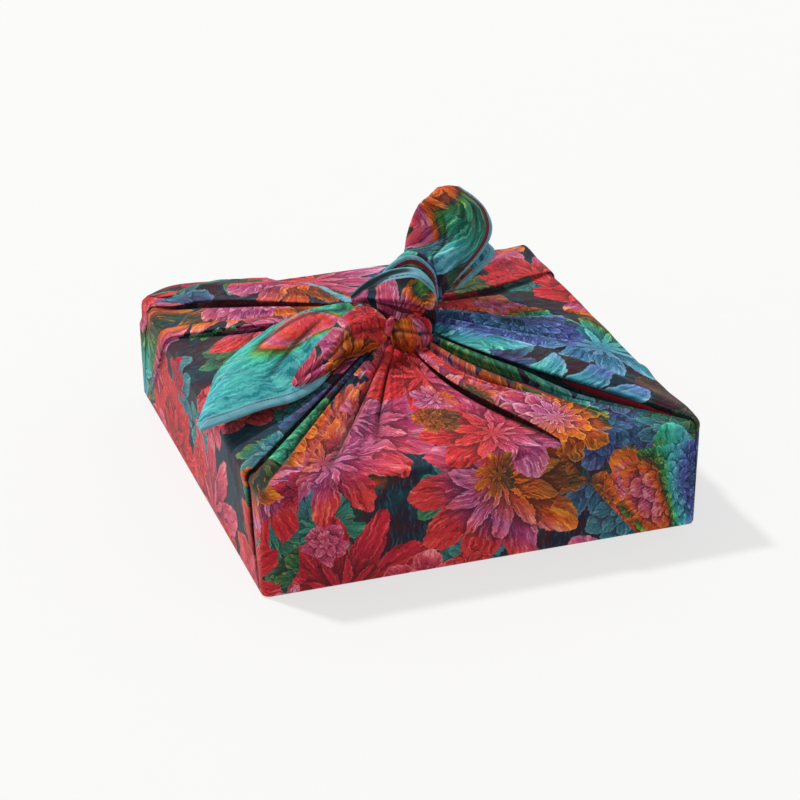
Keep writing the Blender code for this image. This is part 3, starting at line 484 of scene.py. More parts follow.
def crease_height(at, way):
    """Height of the small creases at places in mm, one way out from the knot."""
    total = np.zeros(len(at))
    for place, start, end, width, height, wander in CREASES:
        share = (way - start) / (end - start)
        if not 0 < share < 1:
            continue
        if start > 0.9:
            fade = min(1, share * 5) * (1 - share) ** 0.8
        else:
            fade = math.sin(math.pi * share**0.7) ** 0.8
        gap = gap_round(at, place + wander * share)
        scale = width * near_scale(way)
        total += height * fade * np.exp(-((gap / scale) ** (1.4 if height < 0 else 2)))
    reach = min(way, 1)
    fine = (
        0.24 * np.sin(at * 2 * math.pi / 6.1 + 2.0 * reach + 1.3 * np.sin(at / 37))
        + 0.20 * np.sin(at * 2 * math.pi / 9.7 + 1.1 - 3.0 * reach + 2.1 * np.sin(at / 53))
        + 0.22 * np.sin(at * 2 * math.pi / 15.3 + 2.7 + 2.4 * reach)
    )
    strength = 0.42 * (1 - reach) ** 0.6 * smooth(0, 0.12, reach) + 0.10
    slow = 0.35 * np.sin(at / 17.0 + 5 * way) * np.sin(at / 41.0 + 3.1 * way + 1)
    flat = 1 if way <= 1 else max(0.0, 1 - (way - 1) * 1.1)
    return (total + fine * strength + slow * (0.6 if way <= 1 else 0.35) * flat) * MM


def cloth_rows(at):
    """Rows of the cloth's outer face from the collar to the middle of the underside."""
    fold = fold_values(at)
    shift = lip_shift(at)
    place = at * MM
    corners = np.cumsum((0, BOX_LENGTH, BOX_DEPTH, BOX_LENGTH, BOX_DEPTH)) / MM
    away = np.abs(at[:, None] - corners).min(axis=1)
    lowest = CORNER_LOWEST + (LOWEST - CORNER_LOWEST) * smooth(4, 9, away)
    turned = np.stack([np.cos(fold["collar"]), np.sin(fold["collar"])], 1)
    start = np.array(KNOT_CENTRE) + turned * COLLAR
    heights = np.stack([fold[name] for name in ("knot", "near", "middle", "rim")])
    rows, ways, stands = [], [], []
    for reach in np.linspace(0, 1, TOP_ROWS) ** 1.08:
        blend = float(smooth(0.5, 1, reach))
        rim, _ = outline(place + shift * blend, RIM_RADIUS)
        way = rim - start
        across = np.stack([-way[:, 1], way[:, 0]], 1) / np.linalg.norm(way, axis=1)[:, None]
        bend = math.sin(math.pi * reach ** (math.log(0.5) / math.log(BOW_PEAK))) ** 2
        aside = fold["bow"] * bend + shift * (1 - blend) * float(smooth(0, 0.15, reach))
        flat = start + way * reach + across * aside[:, None]
        lift = monotone(REACHES, heights, np.array([reach]))[0]
        small = crease_height(at, reach) * (1 - 0.5 * float(smooth(0.9, 1, reach)))
        lift = np.maximum(lift + small, -lowest)
        rows.append(np.column_stack([flat, BOX_HEIGHT + lift]))
        ways.append(reach)
        stands.append(lift)
    rim, outward = outline(place + shift, RIM_RADIUS)
    for degrees in np.linspace(0, 90, RIM_ROWS + 1)[1:]:
        angle = math.radians(degrees)
        way = 1 + (RIM_WAY - 1) * degrees / 90
        small = crease_height(at, way) * 0.5
        stand = fold["rim"] + (fold["side"] - fold["rim"]) * degrees / 90
        stand = np.maximum(stand + small, -lowest)
        out = (RIM_RADIUS + stand)[:, None] * outward * math.sin(angle)
        up = BOX_HEIGHT - RIM_RADIUS + (RIM_RADIUS + stand) * math.cos(angle)
        rows.append(np.column_stack([rim + out, up]))
        ways.append(way)
        stands.append(stand)
    top, low = BOX_HEIGHT - RIM_RADIUS, FOOT_RADIUS
    for k in range(1, SIDE_ROWS + 1):
        z = top + (low - top) * k / SIDE_ROWS
        share = 1 - z / BOX_HEIGHT
        way = max(1 + share, RIM_WAY)
        moved, facing = outline(place + shift * (1 - share) + fold["drift"] * share**1.2, 0)
        fade = 1 if share < SIDE_PEAK else 1 - (share - SIDE_PEAK) / (1 - SIDE_PEAK)
        small = crease_height(at, way) * (1 - share)
        stands.append(np.maximum(fold["side"] * fade + small, -lowest))
        rows.append(np.column_stack([moved + facing * stands[-1][:, None], np.full(len(at), z)]))
        ways.append(way)
    for inset, z in ((FOOT_RADIUS * 0.3, FOOT_RADIUS * 0.3), (FOOT_RADIUS, 0), (8 * MM, 0)):
        foot, _ = outline(place + fold["drift"], inset if inset <= CORNER_RADIUS else CORNER_RADIUS)
        if inset > CORNER_RADIUS:
            foot = foot * (1 - (inset - CORNER_RADIUS) / (BOX_LENGTH / 2))
        rows.append(np.column_stack([foot, np.full(len(at), z)]))
        ways.append(2.0)
    last = rows[-1]
    for share in (0.7, 0.4, 0.1):
        rows.append(last * (share, share, 0))
        ways.append(2.0)
    points, ways = np.array(rows), np.array(ways)
    stands = np.array(stands + [np.zeros(len(at))] * (len(rows) - len(stands)))
    hem = roll_hem(at, ways, points)
    points[:, :, 2] += 1.0 * MM * (1 - smooth(0.75, 1.15, hem))
    # The last value returned is painted shade for each point, darker in the deep folds.
    return points, ways, hem, hollows(at, ways, stands)


def panel_maps(at, ways, points):
    """Places on the flat print, in metres, of each face's corners, panel by panel."""
    fold, count, around = fold_values(at), len(at), AROUND / MM
    corners = np.zeros((len(points) - 1, count, 4, 2))
    share = np.clip(ways - 1, 0, 1)[:, None]
    below = at * MM + lip_shift(at) * (1 - share) + fold["drift"] * share**1.2
    settled = smooth(0.86, 1.0, ways)[:, None]
    offset = 0.0
    for k, (start, width) in enumerate(TUCKS):
        end = TUCKS[(k + 1) % len(TUCKS)][0]
        first, last = (int(np.argmin(np.abs(at - edge))) for edge in (start, end))
        cols = (first + np.arange((last - first) % count + 1)) % count
        turns = np.where(cols < first, around * MM, 0)
        middle = len(cols) // 2
        path = points[:, cols]
        _, outward = outline(np.array([at[cols[middle]] * MM]), 0)
        tangent = np.array([-outward[0, 1], outward[0, 0], 0])
        moved = np.diff(path[:, middle], axis=0)
        aside = moved @ tangent
        down = np.sqrt(np.maximum((moved**2).sum(axis=1) - aside**2, 0))
        x, y = (np.concatenate([[0], np.cumsum(part)]) for part in (aside, down))
        x, y = x - x[TOP_ROWS - 1], y - y[TOP_ROWS - 1]
        arc = np.linalg.norm(np.diff(path, axis=1), axis=2)
        arc = np.concatenate([np.zeros((len(path), 1)), np.cumsum(arc, axis=1)], axis=1)
        arc = arc - arc[:, middle : middle + 1]
        offset += width * MM
        u = x[:, None] + arc + at[cols[middle]] * MM + turns[middle]
        u = u + (below[:, cols] + turns - u) * settled + offset
        v = np.repeat(-y[:, None], len(cols), axis=1)
        for corner, (row, col) in enumerate(((0, 0), (1, 0), (1, 1), (0, 1))):
            rows = slice(row, len(points) - 1 + row)
            wide = slice(col, len(cols) - 1 + col)
            corners[:, cols[:-1], corner] = np.stack([u[rows, wide], v[rows, wide]], -1)
    return corners


def tone_at(at, way):
    """The broad colour of the print at places of the net."""
    total = np.zeros(len(at))
    weight = np.full(len(at), 1e-6)
    for place, row_way, tone, spread in TONES:
        gap = gap_round(at, place) / (TONE_REACH * spread)
        here = np.exp(-(gap**2) - ((way - row_way) / (TONE_WAY * spread)) ** 2)
        total += tone * here
        weight += here
    return total / weight


def roll_hem(at, ways, points):
    """Distances from the middle of the hem on the great left roll, as a share of half its width."""
    found = np.full(points.shape[:2], 9.0)
    rows = np.array(ROLL_HEM)
    for row, way in enumerate(ways):
        if rows[0, 0] * 0.3 < way < rows[-1, 0]:
            start, width = (np.interp(way, rows[:, 0], rows[:, k]) for k in (1, 2))
            steps = np.linalg.norm(np.diff(points[row], axis=0), axis=1)
            arc = np.concatenate([[0], np.cumsum(steps)])
            share = (arc - np.interp(start, at, arc)) / (width * MM)
            found[row] = np.minimum(2 * np.abs(share - 0.5), 9)
    return found


def hollows(at, ways, stands):
    """Painted shade at each point of the net, from 0 to 1: darker the further it lies below the
    folds beside it, and in the listed troughs.
    """
    found = np.zeros(stands.shape)
    for row, way in enumerate(ways):
        reach = near_scale(way)
        beside = [
            np.interp(at + step * reach, at, stands[row], period=AROUND / MM)
            for step in (-6, -4, -2, 2, 4, 6)
        ]
        found[row] = 0.8 * smooth(0.1, 1.7, (np.mean(beside, axis=0) - stands[row]) / MM)
        # Painted shade of the listed troughs, laid over that from the folds beside.
        for place, start, end, width, depth in PAINTED_SHADE_TROUGHS:
            share = np.clip((way - start) / (end - start), 0, 1)
            gap = gap_round(at, place) / (width * reach)
            here = depth * (4 * share * (1 - share)) ** 0.5 * np.exp(-(gap**2))
            found[row] = 1 - (1 - found[row]) * (1 - here)
    return found


def lining_rows():
    """The cloth's inner face: a coarser net, a cloth's thickness inside the lowest folds."""
    count = 150
    at = np.arange(count) * AROUND / MM / count
    near = np.linspace(-0.7, 0.7, 9)[:, None] * AROUND / MM / count
    around = np.mod(at + near, AROUND / MM).ravel()
    fold, beside = fold_values(at), fold_values(around)
    place = at * MM
    turned = np.stack([np.cos(fold["collar"]), np.sin(fold["collar"])], 1)
    start = np.array(KNOT_CENTRE) + turned * COLLAR * 0.8
    rim, _ = outline(place, 6 * MM)
    rows = []
    for reach in (0.0, 0.15, 0.35, 0.55, 0.75, 0.90, 1.0):
        heights = np.stack([beside[name] for name in ("knot", "near", "middle", "rim")])
        lift = monotone(REACHES, heights, np.array([reach]))[0] - 2.6 * MM
        lowest = lift.reshape(len(near), count).min(axis=0)
        flat = start + (rim - start) * reach
        height = BOX_HEIGHT + np.maximum(np.minimum(lowest, 14 * MM), -CLOTH + 0.0001)
        rows.append(np.column_stack([flat, height]))
    inset, _ = outline(place, CLOTH + 0.001)
    for z in (BOX_HEIGHT - CLOTH - 0.002, BOX_HEIGHT / 2, CLOTH + 0.001):
        rows.append(np.column_stack([inset, np.full(count, z)]))
    rows.append(np.column_stack([inset * 0.97, np.full(count, CLOTH)]))
    rows.append(np.column_stack([inset * 0.3, np.full(count, CLOTH)]))
    return np.array(rows)


def net_faces(rows, count, first=0, inwards=False):
    """Quads between rows of points, in one array: facing out, or in."""
    r, c = np.meshgrid(np.arange(rows - 1), np.arange(count), indexing="ij")
    after = (c + 1) % count
    quads = np.stack(
        [r * count + c, (r + 1) * count + c, (r + 1) * count + after, r * count + after], -1
    ).reshape(-1, 4)
    return (quads[:, ::-1] if inwards else quads) + first


def new_piece(name, points, faces, finish):
    """An object that rides on the body, in place of the cloth's solid."""
    mesh = bpy.data.meshes.new(name)
    mesh.from_pydata(np.asarray(points).tolist(), [], [list(map(int, f)) for f in faces])
    mesh.materials.append(finish)
    mesh.shade_smooth()
    made = bpy.data.objects.new(name, mesh)
    bpy.context.scene.collection.objects.link(made)
    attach(made, "root")
    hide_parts("furoshiki_cloth")
    return made


def set_values(made, **values):
    """Stores a number for each point of the mesh."""
    for name, numbers in values.items():
        layer = made.data.attributes.new(name, "FLOAT", "POINT")
        layer.data.foreach_set("value", np.asarray(numbers, np.float32).ravel())


def set_map(made, corners):
    """Stores the place of each face's corners on the flat print."""
    layer = made.data.uv_layers.new(name="print")
    layer.data.foreach_set("uv", np.asarray(corners, np.float32).ravel())


def wrapped_cloth(finish):
    """The cloth on the box, outer and inner face."""
    at = columns_round()
    # dark is the painted shade of each point, darker in the deep folds.
    points, ways, hem, dark = cloth_rows(at)
    count = len(at)
    quads = net_faces(len(points), count)
    corner_u = panel_maps(at, ways, points).reshape(-1, 4, 2)
    flat = points.reshape(-1, 3)
    tone = np.concatenate([tone_at(at, way) for way in ways])
    top, bottom = points[0].mean(axis=0), points[-1].mean(axis=0)
    inner = lining_rows()
    inner_count = inner.shape[1]
    first = len(flat) + 2
    inner_quads = net_faces(len(inner), inner_count, first, inwards=True)
    all_points = np.vstack([flat, top, bottom, inner.reshape(-1, 3),
                            inner[0].mean(axis=0), inner[-1].mean(axis=0)])
    fans = []
    last = (len(points) - 1) * count
    for k in range(count):
        after = (k + 1) % count
        fans.append((k, after, len(flat)))
        fans.append((last + after, last + k, len(flat) + 1))
    end = first + inner.size // 3
    inner_last = first + (len(inner) - 1) * inner_count
    for k in range(inner_count):
        after = (k + 1) % inner_count
        fans.append((first + after, first + k, end))
        fans.append((inner_last + k, inner_last + after, end + 1))
    faces = [*quads.tolist(), *inner_quads.tolist(), *fans]
    made = new_piece("wrapped_cloth", all_points, faces, finish)
    spare = len(inner_quads) * 4 + len(fans) * 3
    set_map(made, np.vstack([corner_u.reshape(-1, 2), np.full((spare, 2), 0.05)]))
    rest = len(all_points) - len(flat)
    # Stored per point: the print's tone, the hem, painted shade (darker in the deep folds) and the
    # stripe.
    set_values(made, tone=np.concatenate([tone, np.full(rest, 0.1)]),
               hem=np.concatenate([hem.ravel(), np.full(rest, 9.0)]),
               hollow=np.concatenate([dark.ravel(), np.zeros(rest)]),
               stripe=np.ones(len(all_points)))
    return made


def through(rows, count):
    """Rows of numbers resampled evenly along a smooth curve through them."""
    rows = np.asarray(rows, float)
    ends = np.concatenate([[2 * rows[0] - rows[1]], rows, [2 * rows[-1] - rows[-2]]])
    at = np.linspace(0, len(rows) - 1, count)
    i = np.minimum(at.astype(int), len(rows) - 2)
    u = (at - i).reshape(-1, *[1] * (rows.ndim - 1))
    before, here, after, beyond = (ends[i + k] for k in range(4))
    bend = 2 * before - 5 * here + 4 * after - beyond
    twist = 3 * (here - after) + beyond - before
    return here + u * (after - before + u * (bend + u * twist)) / 2


def strip_sheet(sections, count, cells):
    """The middle of a strip as a grid of points in mm, and its outward directions."""
    lengthwise = through(sections, count)
    sheet = through(lengthwise.transpose(1, 0, 2), cells + 1).transpose(1, 0, 2)
    normal = np.cross(np.gradient(sheet, axis=1), np.gradient(sheet, axis=0))
    normal /= np.maximum(np.linalg.norm(normal, axis=2), 1e-9)[:, :, None]
    if np.sum(normal * (sheet - KNOT_CORE)) < 0:
        normal = -normal
    return sheet, normal


def edge_distances(sheet):
    """For each point of a strip, the distance in mm to its first and last edge, and along it."""
    steps = np.linalg.norm(np.diff(sheet, axis=1), axis=2)
    across = np.concatenate([np.zeros((len(sheet), 1)), np.cumsum(steps, axis=1)], axis=1)
    steps = np.linalg.norm(np.diff(sheet, axis=0), axis=2).mean(axis=1)
    along = np.concatenate([[0], np.cumsum(steps)])
    return across, across[:, -1:] - across, along


def strip(name, sections, count, cells, swell, hems, hem_width, stripe, most, place, finish):
    """A strip of cloth through the sections, with its hems, as a closed piece."""
    sheet, normal = strip_sheet(sections, count, cells)
    first, last, along = edge_distances(sheet)
    share = np.linspace(0, 1, cells + 1)[None, :]
    ways = np.linspace(0, 1, count)[:, None]
    width = np.linalg.norm(sheet[:, -1] - sheet[:, 0], axis=1)[:, None]
    relief = 0.12 * np.sin(first * 0.9 + ways * 7) * np.sin(ways * 19 + share * 5)
    for start, end, half, height in STRIP_FOLDS.get(name, ()):
        run = np.clip((ways - start[0]) / (end[0] - start[0]), 0, 1)
        line = start[1] + (end[1] - start[1]) * run
        fade = smooth(start[0] - 0.08, start[0] + 0.1, ways)
        fade = fade * (1 - smooth(end[0] - 0.15, end[0] + 0.02, ways))
        gap = (share - line) * first[:, -1:]
        relief = relief + height * fade * np.exp(-((gap / half) ** 2))
    local = np.minimum(hem_width, most * first[:, -1:])
    begun = smooth(0.22, 0.42, ways) if name == "back_tail" else np.ones(ways.shape)
    local = np.maximum(local * begun**0.5, 0.01)  # the hem's width here
    hem = np.full(first.shape, 9.0)
    for edge, away in enumerate((first, last * 0.7)):
        if edge in hems:
            hem = np.minimum(hem, away / local)
    stripes = 1 + stripe / hem_width * begun * (first < last)
    fold = 0.30 * (1 - smooth(0.92, 1.06, hem))
    groove = 0.18 * np.exp(-(((hem - STITCH_SHARE) * local / 0.45) ** 2))
    edge = 0.45 * (1 - smooth(0, 0.9, np.minimum(first, last)))
    depth = STRIP_THICKNESS / 2 + swell * width * 4 * share * (1 - share) - 0.3 - edge
    height = STRIP_THICKNESS / 2 + relief + fold - groove - edge
    height = np.maximum(height, 0.25 - depth if swell else -9)
    outer = sheet + normal * height[:, :, None]
    inner = sheet - normal * (depth - relief * (swell == 0))[:, :, None]
    rings = np.concatenate([outer, inner[:, ::-1]], axis=1)
    size = rings.shape[1]
    faces = net_faces(count, size).tolist()
    for row in (0, count - 1):
        for k in range(size // 2 - 1):
            quad = [row * size + j for j in (k, k + 1, size - 2 - k, size - 1 - k)]
            faces.append(quad if row == 0 else quad[::-1])
    made = new_piece(name, rings.reshape(-1, 3) * MM, faces, finish)
    u = np.concatenate([first, first[:, ::-1] + 0.6], axis=1) * MM * place[2] + place[0]
    v = np.repeat(along[:, None], size, axis=1) * MM * place[2] + place[1]
    flat_map = np.stack([u, v], -1).reshape(-1, 2)
    set_map(made, flat_map[np.array([k for face in faces for k in face])])
    tone, weight = np.zeros(first.shape), np.full(first.shape, 1e-9)
    for along_at, across_at, value, spread in STRIP_TONES[name]:
        here = np.exp(-(((ways - along_at) / spread) ** 2) - ((share - across_at) / spread) ** 2)
        tone, weight = tone + value * here, weight + here
    # Painted shade in the strip's troughs, fading out near its edges.
    dark = 0.9 * smooth(0.1, 1.2, -relief) * smooth(0.1, 0.8, np.minimum(first, last))
    values = [np.concatenate([v, v[:, ::-1]], axis=1) for v in (tone / weight, hem, dark, stripes)]
    set_values(made, tone=values[0], hem=values[1], hollow=values[2], stripe=values[3])
    if name == "front_tail":
        calm = smooth(0.02, 0.16, ways) * np.ones(share.shape)
        set_values(made, calm=np.concatenate([calm, calm], axis=1))
    shape = bmesh.new()
    shape.from_mesh(made.data)
    bmesh.ops.recalc_face_normals(shape, faces=shape.faces[:])
    shape.to_mesh(made.data)
    shape.free()
    return made


def stitches(sections, count, cells, side, hem_width, most, start, end):
    """Thread stitches along a strip's hem, each a small raised bead."""
    sheet, normal = strip_sheet(sections, count, cells)
    first, last, along = edge_distances(sheet)
    if side:
        sheet, normal, first = sheet[:, ::-1], normal[:, ::-1], last[:, ::-1]
    line = []
    for row in range(count):
        inset = min(hem_width, most * first[row, -1]) * STITCH_SHARE
        if first[row, -1] > 2.5 * inset:
            k = int(np.clip(np.searchsorted(first[row], inset), 1, cells))
            part = (inset - first[row, k - 1]) / (first[row, k] - first[row, k - 1])
            spot = sheet[row, k - 1] + (sheet[row, k] - sheet[row, k - 1]) * part
            spot = spot + normal[row, k] * (STRIP_THICKNESS / 2 + 0.06)
            line.append((along[row], *spot, *normal[row, k]))
    line = np.array(line)
    reach = np.linspace(line[0, 0], line[-1, 0], int((line[-1, 0] - line[0, 0]) / STITCH_PITCH))
    reach = reach[int(len(reach) * start) : int(len(reach) * end)]
    points, faces = [], []
    for at in reach:
        here = np.array([np.interp(at, line[:, 0], line[:, k]) for k in range(1, 7)])
        ahead = np.array([np.interp(at + 0.5, line[:, 0], line[:, k]) for k in range(1, 4)])
        way = ahead - here[:3]
        way /= max(np.linalg.norm(way), 1e-9)
        up = here[3:] / np.linalg.norm(here[3:])
        side_way = np.cross(up, way)
        base = len(points)
        for along_share, thick in ((-0.72, 0.1), (-0.5, 0.8), (0, 1), (0.5, 0.8), (0.72, 0.1)):
            for k in range(6):
                turn = 2 * math.pi * k / 6
                points.append(here[:3] + way * along_share + side_way * 0.2 * thick * math.cos(turn)
                              + up * 0.17 * thick * math.sin(turn))
        for ring in range(4):
            for k in range(6):
                a, b = base + ring * 6 + k, base + ring * 6 + (k + 1) % 6
                faces.append((a, b, b + 6, a + 6))
        faces.append(tuple(base + k for k in reversed(range(6))))
        faces.append(tuple(base + 24 + k for k in range(6)))
    return np.array(points), faces


class Recipe:
    """Adds nodes to a tree. Each call gives back the socket that holds its result."""

    def __init__(self, tree):
        self.tree = tree

    def feed(self, socket, value):
        if isinstance(value, bpy.types.NodeSocket):
            self.tree.links.new(value, socket)
        else:
            socket.default_value = value

    def node(self, kind, inputs=(), out=0, **settings):
        made = self.tree.nodes.new(kind)
        for name, value in settings.items():
            setattr(made, name, value)
        for key, value in dict(inputs).items():
            self.feed(made.inputs[key], value)
        return made if out is None else made.outputs[out]

    def do(self, operation, *values):
        return self.node("ShaderNodeMath", enumerate(values), operation=operation)

    def vector(self, operation, *values, out=0):
        return self.node("ShaderNodeVectorMath", enumerate(values), out, operation=operation)

    def scale(self, vector, by):
        return self.node("ShaderNodeVectorMath", {0: vector, "Scale": by}, operation="SCALE")

    def turned(self, vector, angle, by):
        inputs = {0: vector, "Rotation": (0, 0, angle), "Scale": by}
        return self.node("ShaderNodeMapping", inputs)

    def value(self, name):
        return self.node("ShaderNodeAttribute", {}, "Fac", attribute_name=name)

    def ease(self, value, low, high):
        inputs = {0: value, 1: low, 2: high}
        return self.node("ShaderNodeMapRange", inputs, interpolation_type="SMOOTHSTEP")

    def noise(self, vector, scale, detail=2.0, rough=0.5, out="Fac"):
        inputs = {"Vector": vector, "Scale": scale, "Detail": detail, "Roughness": rough}
        return self.node("ShaderNodeTexNoise", inputs, out)

    def mix(self, share, low, high, how="MIX"):
        made = self.tree.nodes.new("ShaderNodeMix")
        made.data_type = "RGBA"
        made.blend_type = how
        self.feed(made.inputs[0], share)
        for socket, value in ((made.inputs[6], low), (made.inputs[7], high)):
            self.feed(socket, value if isinstance(value, bpy.types.NodeSocket) else rgba(value))
        return made.outputs[2]

    def ramp(self, value, stops, how="LINEAR"):
        made = self.tree.nodes.new("ShaderNodeValToRGB")
        made.color_ramp.interpolation = how
        self.feed(made.inputs[0], value)
        points = made.color_ramp.elements
        while len(points) < len(stops):
            points.new(0.5)
        for point, (place, colour) in zip(points, stops):
            point.position = place
        for point, (place, colour) in zip(points, stops):
            point.color = rgba(colour)
        return made.outputs[0]


def rgba(text):
    """A linear colour from its sRGB hex."""
    parts = [int(text[k : k + 2], 16) / 255 for k in (0, 2, 4)]
    return (*[p / 12.92 if p <= 0.04045 else ((p + 0.055) / 1.055) ** 2.4 for p in parts], 1)


# The print's colours: tone, then a petal's root, middle, tip and outline
PALETTE = (
    (0.00, "2c0416", "7c0c30", "a8184a", "d84a72"),
    (0.11, "4c0408", "bd0d1d", "e51e2e", "ff6460"),
    (0.22, "5c0814", "c8202c", "ea4a44", "ff8a70"),
    (0.33, "4c0c38", "a83070", "e080ac", "fccce0"),
    (0.45, "4a0e04", "cc440c", "f47a14", "ffb836"),
    (0.54, "0a120c", "16281a", "22462c", "f08418"),
    (0.61, "08301a", "1c7238", "6cae30", "dcd040"),
    (0.69, "043a34", "108c74", "3ccc9c", "98f0c8"),
    (0.79, "083c50", "1c8ca0", "6cccd8", "b8f0f4"),
    (0.90, "10103c", "303a88", "6474c8", "a4b8f0"),
    (1.00, "060e1a", "0c2434", "14404c", "2a9cc8"),
)


def shades(r, tone, *columns):
    """Colours of the palette at a tone, from its columns: 1 root, 2 middle, 3 tip, 4 outline."""
    return [r.ramp(tone, [(row[0], row[k]) for row in PALETTE]) for k in columns]


def blooms(r, vector, tone, under, row):
    """A layer of flowers over the colour under: rings of overlapping petals, root to tip."""
    scale, seed, radius, chance, petals, rings, spread, point, outline_share = row
    moved = r.vector("ADD", vector, (seed, seed * 1.7, 0))
    inputs = {"Vector": moved, "Scale": scale, "Randomness": 0.8}
    cell = r.node("ShaderNodeTexVoronoi", inputs, None, voronoi_dimensions="2D")
    away = r.scale(r.vector("SUBTRACT", moved, cell.outputs["Position"]), scale / radius)
    lots = r.node("ShaderNodeSeparateColor", {0: cell.outputs["Color"]}, None)
    red, green, blue = lots.outputs
    part = r.node("ShaderNodeSeparateXYZ", {0: away}, None)
    angle = r.do("ARCTAN2", part.outputs[1], part.outputs[0])
    turn = r.do("ADD", r.do("DIVIDE", angle, 2 * math.pi), blue)
    far = r.vector("LENGTH", away, out=1)
    count = r.do("FLOOR", r.do("MULTIPLY_ADD", red, petals[1] - petals[0], petals[0]))
    layers = r.do("FLOOR", r.do("MULTIPLY_ADD", green, rings[1] - rings[0], rings[0]))
    out = r.do("MULTIPLY", layers, r.do("POWER", far, 0.85))
    ring = r.do("FLOOR", out)
    rise = r.do("FRACT", out)
    step = r.do("MULTIPLY_ADD", turn, count, r.do("MULTIPLY", ring, 0.5))
    beside_a = r.do("MULTIPLY", r.do("SUBTRACT", r.do("FRACT", step), 0.5), 2)
    beside_b = r.do("MULTIPLY", r.do("SUBTRACT", r.do("FRACT", r.do("ADD", step, 0.5)), 0.5), 2)
    wide = r.do("POWER", r.do("ABSOLUTE", beside_a), 2 - 0.8 * point)
    tip = r.do("SQRT", r.do("ADD", wide, r.do("POWER", rise, 2 - 0.5 * point)))
    inner = r.do("LESS_THAN", tip, 1)
    beside = r.do("ADD", beside_b, r.do("MULTIPLY", inner, r.do("SUBTRACT", beside_a, beside_b)))
    length = r.do("MULTIPLY_ADD", inner, 0.5, r.do("MULTIPLY", rise, 0.5))
    whole = r.do("LESS_THAN", out, r.do("SUBTRACT", layers, 1))
    rim = r.do("MULTIPLY", r.do("LESS_THAN", out, layers), inner)
    lot = r.do("FRACT", r.do("MULTIPLY_ADD", red, 7.31, r.do("MULTIPLY", green, 3.17)))
    mask = r.do("MULTIPLY", r.do("MAXIMUM", whole, rim), r.do("LESS_THAN", lot, chance))
    shade = r.do("MULTIPLY_ADD", r.do("SUBTRACT", blue, 0.5), spread, tone)
    shade = r.do("PINGPONG", shade, 1.0)
    petal = r.do("MULTIPLY_ADD", ring, 3.7, r.do("MULTIPLY", r.do("FLOOR", step), 1.9))
    across = r.do("MULTIPLY", beside, 3.2)
    across = r.node("ShaderNodeCombineXYZ", {0: across, 1: r.do("MULTIPLY", length, 1.1), 2: petal})
    hatch = r.noise(across, 2.6, 3.0, 0.65)
    coarse = r.noise(across, 0.9, 1.0)
    roots, middles, tips, lines = shades(r, shade, 1, 2, 3, 4)
    colour = r.mix(r.ease(length, 0.0, 0.62), roots, middles)
    light = r.do("MULTIPLY", r.ease(length, 0.45, 1.0), r.ease(coarse, 0.2, 0.7))
    colour = r.mix(light, colour, tips)
    colour = r.mix(r.do("MULTIPLY", r.ease(hatch, 0.52, 0.64), 0.75), colour, roots)
    fine = r.do("MULTIPLY", r.ease(hatch, 0.46, 0.34), r.do("MULTIPLY", length, 0.8))
    colour = r.mix(fine, colour, lines)
    gap = r.do("ABSOLUTE", r.do("SUBTRACT", tip, 0.95))
    drawn = r.do("MULTIPLY", r.ease(lot, 0.2, 0.8), outline_share)
    colour = r.mix(r.do("MULTIPLY", r.ease(gap, 0.07, 0.02), drawn), colour, lines)
    dark = r.do("MULTIPLY", r.do("SUBTRACT", 1, inner), r.ease(tip, 1.35, 1.0))
    colour = r.mix(r.do("MULTIPLY", dark, 0.7), colour, roots)
    return r.mix(mask, under, colour)


# Layers of flowers: flowers a metre, shift of the layer, radius and chance of a flower, petals and
# rings (least, most), spread of tones, how pointed the petals are, how much they are outlined
BACK_FLOWERS = (26, 0.31, 0.60, 0.75, (6, 11), (2, 4.9), 0.35, 0.4, 0.5)
FLOWERS = (
    (13, 0.0, 0.60, 0.86, (8, 13), (2, 3.9), 0.14, 1.0, 0.25),
    (12, 1.93, 0.44, 0.55, (7, 11), (2, 3.4), 0.26, 1.0, 0.3),
    (13, 0.77, 0.38, 0.52, (9, 15), (4, 6.9), 0.40, 0.2, 0.9),
    (34, 0.53, 0.40, 0.16, (5, 8), (2, 3.9), 0.7, 0.3, 0.6),
)
GROUND = (
    (0.30, "081430"), (0.41, "05303c"), (0.49, "180a28"), (0.56, "3c0618"), (0.63, "0a3028"),
    (0.72, "b83c08"),
)


def print_colour(r):
    """The flower print, from its flat map and its broad tone."""
    flat = r.node("ShaderNodeUVMap", uv_map="print")
    tone = r.value("tone")
    wobble = r.vector("SUBTRACT", r.noise(flat, 90.0, 3.0, 0.6, "Color"), (0.5, 0.5, 0.5))
    fine = r.vector("SUBTRACT", r.noise(flat, 600.0, 2.0, 0.6, "Color"), (0.5, 0.5, 0.5))
    warped = r.vector("ADD", flat, r.scale(wobble, 0.007))
    warped = r.vector("ADD", warped, r.scale(fine, 0.0016))
    ground = r.ramp(r.noise(warped, 30.0, 4.0, 0.6), GROUND)
    strokes = r.turned(warped, 0.7, (800, 110, 1))
    ground = r.mix(r.ease(r.noise(strokes, 1.0, 2.0), 0.50, 0.75), ground, "15505c")
    dusk = r.do("PINGPONG", r.do("ADD", tone, 0.5), 1.0)
    colour = r.mix(0.55, blooms(r, warped, dusk, ground, BACK_FLOWERS), ground)
    for row in FLOWERS:
        colour = blooms(r, warped, tone, colour, row)
    slant = r.turned(warped, -0.5, (260, 700, 1))
    streak = r.ease(r.noise(slant, 1.0, 3.0), 0.35, 0.7)
    colour = r.mix(streak, r.mix(0.22, colour, "05070c"), colour)
    calm = r.value("calm")
    brushed = r.mix(r.ease(r.noise(strokes, 1.1, 3.0), 0.42, 0.60), *shades(r, tone, 2, 3))
    colour = r.mix(r.do("MULTIPLY", calm, 0.62), colour, brushed)
    return flat, colour


